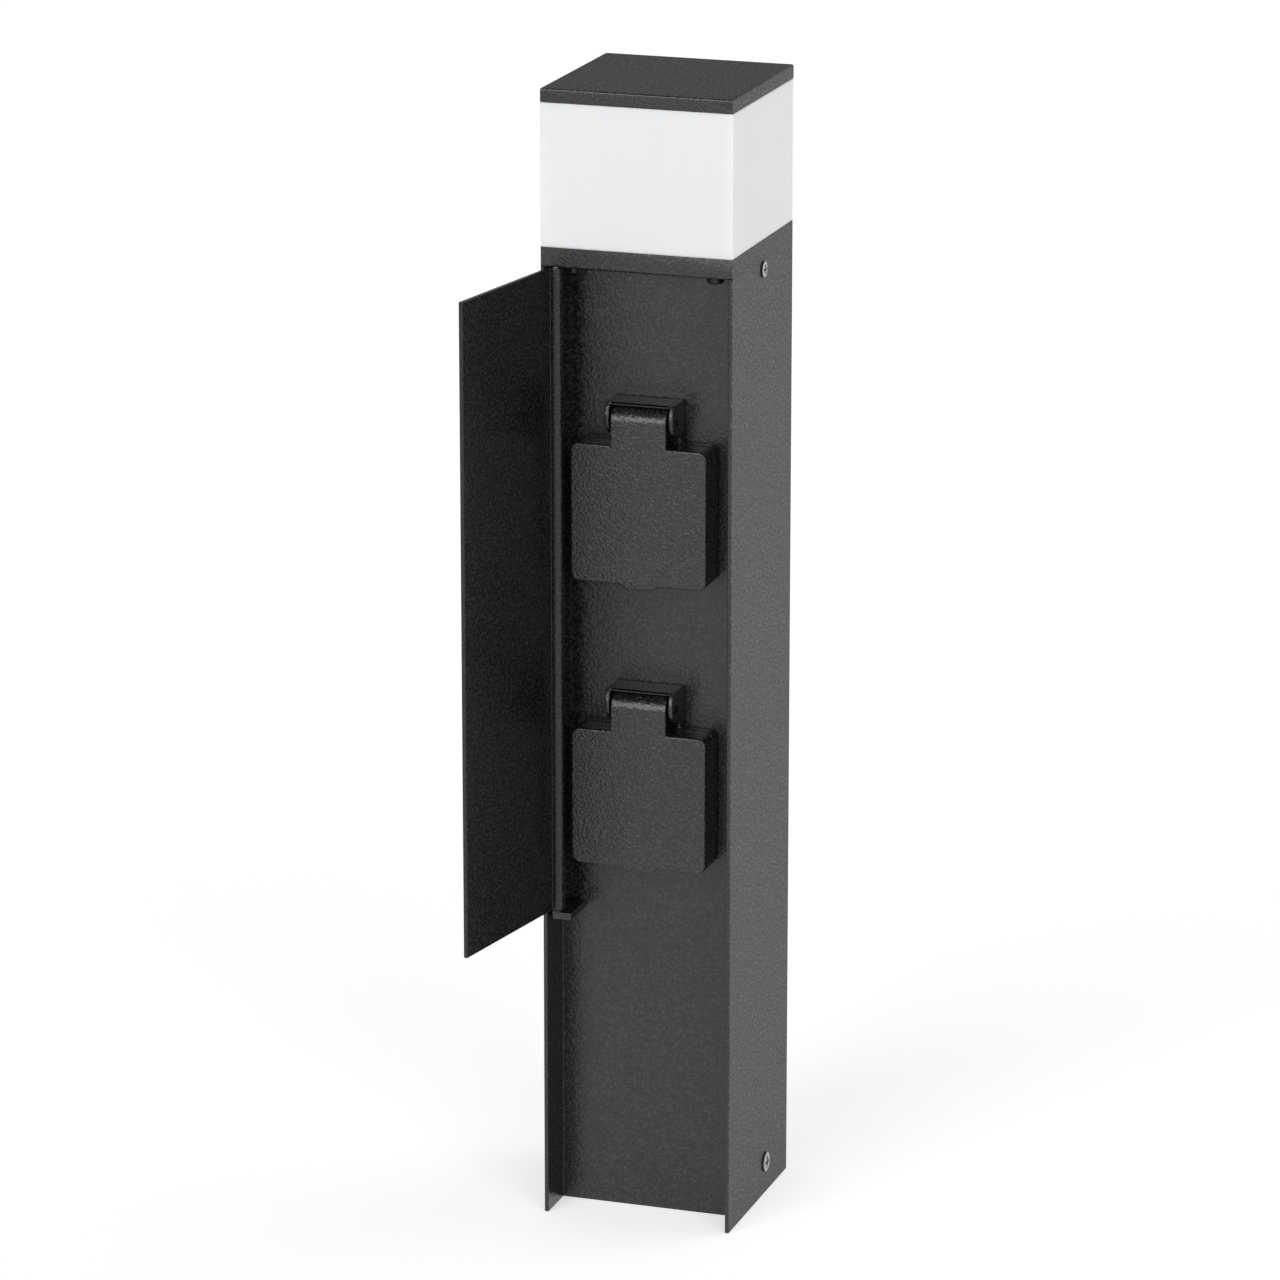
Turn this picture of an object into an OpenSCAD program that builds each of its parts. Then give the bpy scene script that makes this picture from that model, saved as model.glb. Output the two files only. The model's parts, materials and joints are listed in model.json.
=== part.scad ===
/* [Post] */
// Outer width of the post, left to right
post_w = 70; // [66:1:90]
// Outer depth of the post, front to back
post_d = 70; // [68:1:90]
// Length of the aluminium profile
profile_len = 350; // [345:1:600]
// Wall thickness of the profile
wall = 1.5; // [1.2:0.1:2.4]
// Depth of the front recess, from the wall edges back to the web
recess_d = 16.5; // [15:0.5:22]

/* [Lamp head] */
// Height of the head ring
head_h = 7; // [6:0.5:12]
// Bevel along the lower front edge of the head ring
head_bevel = 0.5; // [0.4:0.1:1.5]
// Height of the opal diffuser
diffuser_h = 51; // [40:1:120]
// Wall of the opal diffuser
diffuser_wall = 2; // [1.8:0.1:2.4]
// Height of the top cap
cap_h = 5; // [4.5:0.5:10]
// Bevel along the upper edges of the cap
cap_bevel = 0.5; // [0.4:0.1:1.5]
// Width of the seal under and over the diffuser
seal_w = 1.2; // [0.8:0.1:1.4]
// Height of the seals
seal_h = 1; // [0.6:0.1:1.4]
// Diameter of the rods that clamp cap, diffuser and head
rod_d = 2.9; // [2.4:0.1:3.4]
// Distance of the rods from the post's sides
rod_side = 9; // [8:0.5:14]
// Distance of the rods from the post's front and back
rod_front = 9; // [8:0.5:10]
// Length of rod that stands out under the head
rod_tip = 3.1; // [1:0.1:3.3]
// Depth that the rods reach into the cap
rod_in_cap = 3; // [2:0.1:3.5]
// Width and depth of the slot in each rod's lower end
rod_slot = 0.7; // [0.5:0.1:1]
// Diameter of the rubber cap on the right front rod
rod_cap_d = 6; // [5:0.1:8]
// Height of the rubber cap
rod_cap_h = 3.4; // [3.4:0.1:6]
// Bevel round the lower edge of the rubber cap
rod_cap_bevel = 0.6; // [0.2:0.1:1]

/* [Lamp] */
// Width of the LED tray
tray_w = 60; // [54:1:60]
// Depth of the LED tray
tray_d = 52; // [48:1:54]
// Thickness of the LED tray
tray_t = 1.5; // [1:0.1:3]
// Distance of each tray screw from the middle
tray_screw_x = 26; // [25:0.5:27]
// Depth that the tray screws reach into the head
tray_screw_in = 2.5; // [2:0.1:4]
// Side of the square LED board
board_w = 44; // [40:1:46]
// Thickness of the LED board
board_t = 1.6; // [1:0.1:2.4]
// LED chips along each side of the board
chips_n = 4; // [2:1:5]
// Distance between LED chips
chips_pitch = 9; // [5:0.5:9]
// Side of an LED chip
chip_w = 3; // [2:0.1:3.5]
// Height of an LED chip
chip_h = 0.7; // [0.4:0.1:1.2]
// Width of the LED driver box
driver_w = 44; // [36:1:50]
// Depth of the LED driver box
driver_d = 22; // [18:1:26]
// Height of the LED driver box
driver_h = 19; // [15:1:24]
// How far the driver's middle lies behind the wires
driver_back = 4.4; // [3:0.1:6]
// Diameter of the lead from the driver to the LED board
lead_d = 4; // [2:0.5:6]

/* [Side screws] */
// Diameter of the upper side screws' heads
side_head_d = 5.8; // [5:0.1:6.4]
// Diameter of the upper side screws' shanks
side_shank_d = 2.9; // [2.4:0.1:3.2]
// Diameter of the lower side screws' heads
foot_head_d = 7.3; // [6.4:0.1:8]
// Diameter of the lower side screws' shanks
foot_shank_d = 3.5; // [2.9:0.1:3.9]
// Height of the side screws' heads
side_head_h = 1; // [0.8:0.1:2]
// Distance of the upper side screws from the profile's top end
head_screw_drop = 3.3; // [3.2:0.1:8]
// Height of the lower side screws above the ground
foot_screw_z = 12; // [8:0.5:16]
// Thickness of the tongues that take the side screws
tongue_t = 3; // [2:0.1:4]
// Width of the tongues
tongue_w = 13; // [9:0.5:15]
// Length of the head's tongues
tongue_len = 10; // [8:0.5:14]
// Height of the foot's tongues above the ground
foot_tongue_z = 20; // [18.5:0.5:26]
// Gap between the foot or a tongue and the profile's inside
seat_gap = 0.2; // [0.05:0.05:0.3]

/* [Foot] */
// Thickness of the foot plate
foot_t = 3; // [2:0.5:6]
// Distance between anchor holes, left to right
anchor_x = 46; // [38:1:48]
// Distance between anchor holes, front to back
anchor_y = 34; // [32:1:36]
// Diameter of the anchor holes
anchor_d = 5.5; // [4:0.1:6.5]
// Bore of the cable grommet
cable_d = 10; // [6:0.5:11]
// Wall of the cable grommet
grommet_wall = 3; // [2:0.1:3.2]
// Rim of the cable grommet, beyond its sleeve
grommet_rim = 2; // [1:0.1:2.2]
// Thickness of the grommet's rim
grommet_rim_t = 1.5; // [1:0.1:3]
// Gap between the cable grommet and the terminal block
grommet_gap = 4; // [1:0.5:6]

/* [Wiring] */
// Distance of the terminal block from the middle of the rear box
terminal_shift = 12.25; // [10:0.25:13]
// Depth of the terminal block
terminal_d = 14; // [10:1:15]
// Height of the terminal block
terminal_h = 16; // [12:1:24]
// Diameter of the terminal screws
terminal_screw_d = 4; // [3:0.1:5]
// Distance of the terminal screws behind the block's front
terminal_sink = 2.4; // [1:0.1:4]
// Width of the slots in the terminal screws
terminal_slot_w = 0.8; // [0.5:0.1:1.2]
// Depth of the slots in the terminal screws
terminal_slot_d = 1.2; // [0.6:0.1:2]
// Width of the grooves between the poles
groove_w = 0.8; // [0.5:0.1:1.5]
// Depth of the grooves between the poles
groove_d = 3.2; // [1:0.1:5]
// Diameter of the insulated wires
wire_d = 2.6; // [2:0.1:2.8]
// Sideways slack of each stretch of wire
wire_slack = 3; // [0:0.5:5]
// Distance of the earth wire's end from the driver, on the head
earth_end_gap = 5.5; // [4:0.5:7]

/* [Door] */
// Thickness of the door panel
door_t = 1.5; // [1.2:0.1:2]
// Diameter of the round hinge bead along the door
bead_d = 5; // [4.6:0.1:6]
// Gap between the hinge bead and the left wall
bead_gap = 0.8; // [0.6:0.1:1.2]
// Gap between the closed door and the right wall
door_side_gap = 0.6; // [0.4:0.1:2]
// Gap between the door and the head
door_top_gap = 0.4; // [0.3:0.1:2]
// How far the door stands open, in degrees
door_open = 100; // [60:1:100]
// Diameter of the door's hinge pins
pin_d = 2.9; // [2.4:0.1:3.2]
// Running gap round a hinge pin
pin_play = 0.05; // [0.02:0.01:0.1]
// Gap round a pin that is fixed
pin_seat = 0.02; // [0.01:0.01:0.03]
// Length of each pin inside the bead
pin_in = 12; // [8:1:30]
// Length of the top pin inside the head
pin_up = 4.5; // [3:0.5:5]
// Distance of the bottom bracket below the lower lid
bracket_drop = 19; // [12:0.5:28]
// Thickness of the bottom bracket
bracket_t = 2.5; // [2:0.1:3]
// Width of the bottom bracket
bracket_w = 9; // [8:0.5:14]
// Width of the bracket's tail through the web
tail_w = 5; // [4:0.5:7]
// Length of the bracket's tail behind the web
tail_out = 3; // [2:0.5:6]
// Gap round the bracket's tail
tail_gap = 0.1; // [0.05:0.05:0.2]
// Thickness of the thrust washer under the bead
washer_t = 0.4; // [0.3:0.1:1]
// Gap between the thrust washer and the door
washer_gap = 0.1; // [0.05:0.05:0.3]

/* [Sockets] */
// Distance of the upper socket's centre from the profile's top end
socket_drop = 87.5; // [70:0.5:110]
// Distance between the two sockets
socket_pitch = 104; // [86:0.5:110]
// Side of the square lid and flange
lid_w = 50; // [49:0.5:52]
// Corner radius of the lid and flange
lid_r = 3; // [2:0.1:5]
// Wall of the lid
lid_t = 2; // [1.6:0.1:2.2]
// Gap between the closed door and the lids
lid_door_gap = 0.5; // [0.4:0.1:1]
// Gap between the lid's rim and the flange
lid_rim_gap = 0.5; // [0.3:0.1:1]
// Width of the lid's finger tab at its root
tab_root_w = 13.5; // [8:0.5:20]
// Width of the lid's finger tab at its tip
tab_tip_w = 9; // [6:0.5:18]
// Height of the lid's finger tab
tab_h = 1.6; // [1:0.1:3]
// Depth of the lid's finger tab, front to back
tab_d = 4; // [2:0.5:5]
// Thickness of the flange
flange_t = 4; // [3:0.5:4.5]
// Thickness of the gasket behind the flange
gasket_t = 1; // [0.6:0.1:1.4]
// Distance between the well's outside and the lid's inside
well_side = 2; // [1.8:0.1:2.4]
// Wall of the socket's well
well_wall = 1.5; // [1.2:0.1:1.6]
// Depth of the socket's well
well_depth = 17.5; // [17:0.1:18.5]
// Thickness of the well's floor
well_floor = 2; // [1.5:0.1:3]
// Gap between the well and its hole in the web
well_gap = 0.5; // [0.3:0.1:0.8]
// Width of the guide ribs in the well
rib_w = 4.6; // [3:0.1:5]
// Height of the guide ribs in the well
rib_h = 2; // [1:0.1:2.5]
// Distance between the two pin holes
contact_pitch = 19; // [18:0.5:20]
// Diameter of the pin holes
pin_hole_d = 5.4; // [5:0.1:5.6]
// Distance of the flange screws from the flange's edge
flange_edge = 6; // [5.6:0.1:6.4]
// Diameter of the flange screws' heads
flange_head_d = 5.4; // [4.6:0.1:5.6]
// Height of the flange screws' heads
flange_head_h = 1.8; // [1:0.1:2]
// Diameter of the flange screws' shanks
flange_shank_d = 2.9; // [2.4:0.1:3]
// Length of the flange screws' shanks
flange_shank_l = 11; // [9:0.5:13]
// Gap round the screws
screw_gap = 0.1; // [0.05:0.05:0.15]
// Thickness of the lid's seal
lid_seal_t = 1.7; // [1:0.1:2]
// Width of the lid's seal ring
lid_seal_w = 2.4; // [1.5:0.1:3]
// Gap between the lid's seal and the well's rim
lid_seal_gap = 0.3; // [0.2:0.05:0.5]

/* [Lid hinge] */
// Height of the lid's hinge axis above the lid
hinge_rise = 8.5; // [8.2:0.1:10]
// Radius of the lid's hinge barrel
barrel_r = 5; // [4.8:0.1:5.2]
// Width of the lid's hinge barrel
barrel_w = 20.3; // [18:0.1:20.6]
// Gap between the barrel and the hinge block
barrel_gap = 0.4; // [0.3:0.05:0.6]
// Gap between the barrel's ends and the ears
ear_gap = 0.75; // [0.4:0.05:1]
// Thickness of the ears
ear_t = 1.7; // [1.4:0.1:2.5]
// Radius of the ears' round front
ear_r = 7.4; // [7:0.1:7.6]
// How far the ears stay behind the lid's front
ear_back = 0.4; // [0.2:0.1:1]
// Height of the ears' lower edge above the lid
ear_lift = 2.6; // [2.2:0.1:3]
// Thickness of the hinge block's top
hinge_top_t = 1.2; // [1:0.1:2]
// How far the hinge block's top stays behind the lid's front
hinge_top_back = 2.4; // [2:0.1:4]
// Diameter of the lid's hinge pin
lid_pin_d = 3; // [2.6:0.1:3.2]
// Wire of the lid's spring
lid_wire = 0.8; // [0.6:0.1:0.8]
// Mean radius of the lid's spring
lid_coil_r = 2.5; // [2.3:0.05:2.6]
// Distance between the turns of the lid's spring
lid_coil_pitch = 1.3; // [1.25:0.01:1.4]
// Full turns of the lid's spring
lid_coil_turns = 6; // [3:1:6]
// Further part of a turn, which brings the spring's second leg round to the lid
lid_coil_part = 0.25; // [0.25:0.25:0.5]
// Gap round the lid's spring in the barrel
lid_coil_gap = 0.6; // [0.4:0.1:0.7]

/* [Contacts] */
// Length of the rear cover behind the well
cover_len = 21.5; // [20:0.5:26]
// How much slimmer the rear cover is than the well
cover_step = 0.5; // [0.2:0.1:1]
// Depth of the shutter's chamber
chamber_d = 6.5; // [6:0.1:8]
// Wall between the chamber and the cover's flats
chamber_wall = 1; // [0.8:0.1:2]
// Outer diameter of a line contact
contact_d = 6.6; // [6.2:0.1:7.4]
// Wall of a line contact
contact_wall = 0.8; // [0.5:0.1:1]
// Length of a line contact
contact_len = 12; // [10:0.5:14]
// Distance of the wires from the front of the line contacts
wire_on_contact = 7; // [5:0.5:8]
// Gap round the contacts and wires in the rear cover
contact_gap = 0.1; // [0.05:0.05:0.2]
// Thickness of the earth clip
clip_t = 0.8; // [0.6:0.1:1]
// Width of the earth clip
clip_w = 5; // [4:0.5:6]
// Distance of the earth clip from the well's wall
clip_in = 1.7; // [1.4:0.1:2.2]
// Length of the earth clip inside the well
clip_len = 12.5; // [8:0.5:14]
// Radius of the earth clip's contact bead
clip_bead_r = 0.9; // [0.6:0.1:1.2]
// Gap round the earth clip in the well's floor
clip_gap = 0.3; // [0.2:0.1:0.5]

/* [Shutter] */
// Radius of the post that the shutter turns on
shutter_post_r = 2; // [1.6:0.1:2.1]
// Radius of the shutter's hub
shutter_hub_r = 4; // [3.5:0.1:4.5]
// Gap between the shutter's blades and the chamber
shutter_side = 2.5; // [1:0.1:3]
// Width of the shutter's blades
shutter_w = 6.8; // [6.4:0.1:7]
// Thickness of the shutter
shutter_t = 2; // [1.5:0.1:2.5]
// Gap between the shutter and the well's floor
shutter_gap = 0.7; // [0.4:0.1:1]
// Wire of the shutter's spring
shutter_wire = 0.5; // [0.3:0.1:0.5]
// Mean radius of the shutter's spring
shutter_coil_r = 2.8; // [2.7:0.05:3.2]
// Full turns of the shutter's spring
shutter_coil_turns = 3; // [2:1:3]

/* [Hidden] */
$fn = 48;

// A cut runs this far past the face that it opens
over = 1;

// Rings and sides of a stretch of wire, and of each turn of a spring
wire_steps = 14;
wire_sides = 8;
rings_per_turn = 8;
spring_sides = 6;

// Planes of the profile, in the post's own frame: the front is at -Y
inner_x = post_w / 2 - wall;
front_y = -post_d / 2;
web_y = front_y + recess_d;
box_front_y = web_y + wall;
box_back_y = post_d / 2 - wall;
box_mid_y = (box_front_y + box_back_y) / 2;

// Heights of the lamp head
head_top_z = profile_len + head_h;
diffuser_top_z = head_top_z + diffuser_h;
rod_x = post_w / 2 - rod_side;
rod_y = post_d / 2 - rod_front;

// Planes of a socket, from the closed door back to the wires
lid_front_y = front_y + door_t + lid_door_gap;
flange_back_y = web_y - gasket_t;
flange_front_y = flange_back_y - flange_t;
lid_back_y = flange_front_y - lid_rim_gap;
lid_inside_y = lid_front_y + lid_t;
rim_y = lid_inside_y + lid_seal_t + lid_seal_gap;
floor_y = rim_y + well_depth;
well_back_y = floor_y + well_floor;
well_outer_r = lid_w / 2 - lid_t - well_side;
well_r = well_outer_r - well_wall;
flange_pitch = lid_w - 2 * flange_edge;
chamber_y = well_back_y + chamber_d;
cover_back_y = well_back_y + cover_len;
wire_y = chamber_y + wire_on_contact;
contact_x = contact_pitch / 2;

// The earth clip's legs lie on the rear cover's flats
clip_z = well_r - clip_in - clip_t;
earth_z = clip_z + clip_t;
contact_r = contact_d / 2;
chamber_r = clip_z - chamber_wall;
shutter_r = chamber_r - shutter_side;

// The lid's hinge
hinge_y = lid_front_y + barrel_r;
hinge_z = lid_w / 2 + hinge_rise;
hinge_back_y = hinge_y + barrel_r + barrel_gap;
hinge_under_z = hinge_z + barrel_r + barrel_gap;
hinge_top_z = hinge_under_z + hinge_top_t;
ear_x = barrel_w / 2 + ear_gap;
block_x = ear_x + ear_t;
ear_y = lid_front_y + ear_back + ear_r;
ear_low_z = lid_w / 2 + ear_lift;
hinge_top_y = lid_front_y + hinge_top_back;

// Heights of the sockets' centres
upper_z = profile_len - socket_drop;
lower_z = upper_z - socket_pitch;

// The door's hinge axis and reach
door_x = -inner_x + bead_gap + bead_d / 2;
door_y = front_y + bead_d / 2;
door_reach = inner_x - door_side_gap - door_x;
bracket_top_z = lower_z - lid_w / 2 - bracket_drop;
bracket_z = bracket_top_z - bracket_t;
door_low_z = bracket_top_z + washer_t + washer_gap;
door_high_z = profile_len - door_top_gap;

// Places of the pieces inside the rear box
foot_half_x = inner_x - seat_gap;
terminal_y = box_mid_y - terminal_shift;
terminal_front_y = terminal_y - terminal_d / 2;
terminal_w = 3 * contact_x;
terminal_mid_z = foot_t + terminal_h / 2;
terminal_top_z = foot_t + terminal_h;
grommet_r = cable_d / 2 + grommet_wall;
grommet_rim_r = grommet_r + grommet_rim;
grommet_y = terminal_y + terminal_d / 2 + grommet_gap + grommet_rim_r;
driver_y = wire_y + driver_back;
driver_low_z = profile_len - driver_h;
earth_end_y = driver_y - driver_d / 2 - earth_end_gap;
head_screw_z = profile_len - head_screw_drop;
side_shank_l = wall + seat_gap + tongue_t + over;

// Radii of the holes that screws, rods, pins and the lead pass through
side_hole_r = side_shank_d / 2 + screw_gap;
foot_hole_r = foot_shank_d / 2 + screw_gap;
flange_hole_r = flange_shank_d / 2 + screw_gap;
rod_hole_r = rod_d / 2 + screw_gap;
lead_hole_r = lead_d / 2 + over;
door_bore_r = pin_d / 2 + pin_play;

// Shares of a pan-head screw's head: its rim's height, its crown, and the slots and reach of its cross
screw_rim_share = 0.6;
screw_crown_share = 0.86;
screw_slot_share = 0.14;
screw_cross_share = 0.55;

// Colours of the finishes
anthracite = [0.16, 0.16, 0.17];
dark_plastic = [0.13, 0.13, 0.135];
opal = [0.93, 0.94, 0.95];
zinc = [0.72, 0.72, 0.74];
brass = [0.8, 0.65, 0.3];
rubber = [0.06, 0.06, 0.06];
grey_plastic = [0.55, 0.56, 0.58];
white_plastic = [0.88, 0.88, 0.86];
phosphor = [0.9, 0.8, 0.3];
live_brown = [0.4, 0.22, 0.1];
neutral_blue = [0.1, 0.25, 0.65];
earth_green = [0.3, 0.6, 0.15];

// Block given by its lowest and highest corners
module block(low, high) {
    translate(low) cube(high - low);
}

// Round bar along X, centred on the middle plane
module bar_x(r, length) {
    rotate([0, 90, 0]) cylinder(r = r, h = length, center = true);
}

// Round bar along Y from one plane to another
module bar_y(r, y0, y1) {
    translate([0, y0, 0]) rotate([-90, 0, 0]) cylinder(r = r, h = y1 - y0);
}

// Round hole up through a plate that lies on z = 0
module drill(r, depth) {
    translate([0, 0, -over]) cylinder(r = r, h = depth + 2 * over);
}

// Square plate with rounded corners, standing between two Y planes
module rounded_plate(side, r, y0, y1) {
    half = side / 2;
    block([-half + r, y0, -half], [half - r, y1, half]);
    block([-half, y0, -half + r], [half, y1, half - r]);
    for (sx = [-1, 1], sz = [-1, 1])
        translate([sx * (half - r), 0, sz * (half - r)]) bar_y(r, y0, y1);
}

// Pan-head screw with a cross recess: its head stands on z = 0, its shank runs down
module pan_screw(head_d, head_h, shank_d, shank_l) {
    rim_h = head_h * screw_rim_share;
    slot_w = head_d * screw_slot_share;
    slot_l = head_d * screw_cross_share;
    difference() {
        union() {
            cylinder(d = head_d, h = rim_h);
            translate([0, 0, rim_h])
                cylinder(d1 = head_d, d2 = head_d * screw_crown_share, h = head_h - rim_h);
        }
        for (turn = [0, 90])
            rotate([0, 0, turn]) translate([0, 0, head_h]) cube([slot_l, slot_w, head_h], center = true);
    }
    translate([0, 0, -shank_l]) cylinder(d = shank_d, h = shank_l);
}

// The same thing on the right wall and, mirrored, on the left
module both_sides() {
    for (side = [0, 1]) mirror([side, 0, 0]) children();
}

// Four copies on the corners of a rectangle in the XZ plane
module four_xz(pitch) {
    for (sx = [-1, 1], sz = [-1, 1]) translate([sx * pitch / 2, 0, sz * pitch / 2]) children();
}

// Four copies on the corners of a rectangle in the XY plane
module four_xy(half_x, half_y) {
    for (sx = [-1, 1], sy = [-1, 1]) translate([sx * half_x, sy * half_y, 0]) children();
}

// Closed tube through rings of points, each ring listed the right way round its direction of travel
module tube(rings) {
    sides = len(rings[0]);
    last = len(rings) - 1;
    walls = [for (i = [0:last - 1], k = [0:sides - 1], half = [0, 1])
        let (a = i * sides + k, b = i * sides + (k + 1) % sides, c = a + sides, d = b + sides)
            half == 0 ? [a, d, b] : [a, c, d]];
    ends = [for (k = [1:sides - 2], half = [0, 1])
        half == 0 ? [0, k, k + 1] : [last * sides, last * sides + k + 1, last * sides + k]];
    polyhedron([for (ring = rings) each ring], concat(walls, ends));
}

function ring(centre, u, v, r, sides) =
    [for (k = [0:sides - 1]) centre + r * (cos(360 * k / sides) * u + sin(360 * k / sides) * v)];

function ease(t) = t * t * (3 - 2 * t);

// One stretch of wire from one point up to another: a straight lead at each end, and slack between
module wire(x, y0, z0, y1, z1, low_lead, high_lead) {
    low_z = z0 + low_lead;
    rise = z1 - high_lead - low_z;
    function level(y, z) = ring([x, y, z], [1, 0, 0], [0, 1, 0], wire_d / 2, wire_sides);
    tube(concat(
        [level(y0, z0)],
        [for (i = [0:wire_steps])
            let (t = i / wire_steps, bow = wire_slack * pow(sin(180 * t), 2))
                level(y0 + (y1 - y0) * ease(t) + bow, low_z + rise * t)],
        [level(y1, z1)]));
}

// Centre line of a coil about X, and the outward direction at each of its points
function coil_angle(i, start) = start + 360 * i / rings_per_turn;
function coil_out(a) = [0, cos(a), sin(a)];
function coil_point(i, r, pitch, start) =
    [pitch * i / rings_per_turn, 0, 0] + r * coil_out(coil_angle(i, start));
function coil_gap(r, pitch, wire) =
    norm(coil_point(rings_per_turn, r, pitch, 0) - coil_point(0, r, pitch, 0)) - wire;

// Coil of round wire about X with a straight leg at each end, centred along X
module coil(r, wire, pitch, turns, start, leg_in, leg_out) {
    steps = turns * rings_per_turn;
    first = coil_out(start);
    last = coil_out(coil_angle(steps, start));
    function along(out) = [0, -out[2], out[1]];
    centres = concat(
        [coil_point(0, r, pitch, start) - leg_in * along(first)],
        [for (i = [0:steps]) coil_point(i, r, pitch, start)],
        [coil_point(steps, r, pitch, start) + leg_out * along(last)]);
    outs = concat([first], [for (i = [0:steps]) coil_out(coil_angle(i, start))], [last]);
    translate([-pitch * turns / 2, 0, 0])
        tube([for (i = [0:len(centres) - 1]) ring(centres[i], outs[i], [-1, 0, 0], wire / 2, spring_sides)]);
}

// Tongue with a hole for a side screw, on the right side of the box
module tongue(y, low_z, high_z, screw_z, hole_r) {
    difference() {
        block([foot_half_x - tongue_t, y - tongue_w / 2, low_z], [foot_half_x, y + tongue_w / 2, high_z]);
        translate([foot_half_x, y, screw_z]) bar_x(hole_r, 2 * tongue_t + over);
    }
}

// Screw through the right wall into a tongue
module side_screw(y, z, head_d, shank_d) {
    translate([post_w / 2, y, z]) rotate([0, 90, 0]) pan_screw(head_d, side_head_h, shank_d, side_shank_l);
}

// Aluminium profile: closed rear box, front web and two walls that run past it
module post_profile() {
    color(anthracite) difference() {
        block([-post_w / 2, front_y, 0], [post_w / 2, post_d / 2, profile_len]);
        block([-inner_x, front_y - over, -over], [inner_x, web_y, profile_len + over]);
        block([-inner_x, box_front_y, -over], [inner_x, box_back_y, profile_len + over]);
        for (z = [upper_z, lower_z]) translate([0, 0, z]) {
            bar_y(well_outer_r + well_gap, web_y - over, box_front_y + over);
            four_xz(flange_pitch) bar_y(flange_hole_r, web_y - over, box_front_y + over);
        }
        both_sides() {
            translate([post_w / 2, 0, head_screw_z]) bar_x(side_hole_r, 2 * wall + over);
            translate([post_w / 2, box_mid_y, foot_screw_z]) bar_x(foot_hole_r, 2 * wall + over);
        }
        block([door_x - tail_w / 2 - tail_gap, web_y - over, bracket_z - tail_gap],
              [door_x + tail_w / 2 + tail_gap, box_front_y + over, bracket_top_z + tail_gap]);
    }
}

// Foot in the rear box: a plate with anchor holes, a cable hole and a tongue at each side
module base_foot() {
    color(zinc) {
        difference() {
            block([-foot_half_x, box_front_y + seat_gap, 0], [foot_half_x, box_back_y - seat_gap, foot_t]);
            translate([0, box_mid_y, 0]) four_xy(anchor_x / 2, anchor_y / 2) drill(anchor_d / 2, foot_t);
            translate([0, grommet_y, 0]) drill(grommet_r + seat_gap, foot_t);
        }
        both_sides() tongue(box_mid_y, foot_t, foot_tongue_z, foot_screw_z, foot_hole_r);
    }
}

// Rubber grommet for the buried cable
module cable_grommet() {
    color(rubber) translate([0, grommet_y, 0]) difference() {
        union() {
            cylinder(r = grommet_r, h = foot_t);
            translate([0, 0, foot_t]) cylinder(r = grommet_rim_r, h = grommet_rim_t);
        }
        drill(cable_d / 2, foot_t + grommet_rim_t);
    }
}

// Pan-head screws through the side walls into the foot
module base_screws() {
    color(zinc) both_sides() side_screw(box_mid_y, foot_screw_z, foot_head_d, foot_shank_d);
}

// The same thing on each of the terminal block's three poles
module at_poles() {
    for (pole = [-1, 0, 1]) translate([pole * contact_x, 0, terminal_mid_z]) children();
}

// Three-pole terminal block on the foot, with a screw hole at the front of each pole
module terminal_block() {
    color(white_plastic) difference() {
        block([-terminal_w / 2, terminal_front_y, foot_t],
              [terminal_w / 2, terminal_y + terminal_d / 2, terminal_top_z]);
        at_poles() bar_y(terminal_screw_d / 2 + screw_gap, terminal_front_y - over, terminal_y);
        both_sides() translate([contact_x / 2, terminal_y, terminal_top_z])
            block([-groove_w / 2, -terminal_d, -groove_d], [groove_w / 2, terminal_d, over]);
    }
}

// Slotted clamping screws of the terminal block
module terminal_screws() {
    screw_y = terminal_front_y + terminal_sink;
    color(zinc) at_poles() difference() {
        bar_y(terminal_screw_d / 2, screw_y, terminal_y);
        block([-terminal_screw_d, screw_y - over, -terminal_slot_w / 2],
              [terminal_screw_d, screw_y + terminal_slot_d, terminal_slot_w / 2]);
    }
}

// Bottom hinge bracket: a plate between the left wall and the web, rounded at the left of its pin hole,
// with a tail through the web
module hinge_bracket() {
    color(anthracite) difference() {
        union() {
            block([-inner_x, door_y, bracket_z], [-inner_x + bracket_w, web_y, bracket_top_z]);
            block([door_x, front_y, bracket_z], [-inner_x + bracket_w, web_y, bracket_top_z]);
            translate([door_x, door_y, bracket_z]) cylinder(d = bead_d, h = bracket_t);
            block([door_x - tail_w / 2, web_y - over, bracket_z],
                  [door_x + tail_w / 2, box_front_y + tail_out, bracket_top_z]);
        }
        translate([door_x, door_y, bracket_z]) drill(door_bore_r, bracket_t);
    }
}

// Nylon washer that the door's bead turns on
module thrust_washer() {
    color(white_plastic) translate([door_x, door_y, bracket_top_z]) difference() {
        cylinder(d = bead_d, h = washer_t);
        drill(door_bore_r, washer_t);
    }
}

// Square groove for a seal under or over the diffuser's walls, open upwards from z = 0
module seal_ring(gap, height) {
    mid = diffuser_wall / 2;
    linear_extrude(height) difference() {
        square([post_w - 2 * mid + seal_w + 2 * gap, post_d - 2 * mid + seal_w + 2 * gap], center = true);
        square([post_w - 2 * mid - seal_w - 2 * gap, post_d - 2 * mid - seal_w - 2 * gap], center = true);
    }
}

// Slab of the post's outline, bevelled at z = 0 along its front and, by another amount, its other edges
module bevelled_slab(height, bevel, others) {
    hull() {
        block([others - post_w / 2, bevel - post_d / 2, 0],
              [post_w / 2 - others, post_d / 2 - others, height]);
        block([-post_w / 2, -post_d / 2, bevel], [post_w / 2, post_d / 2, height]);
    }
}

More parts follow.
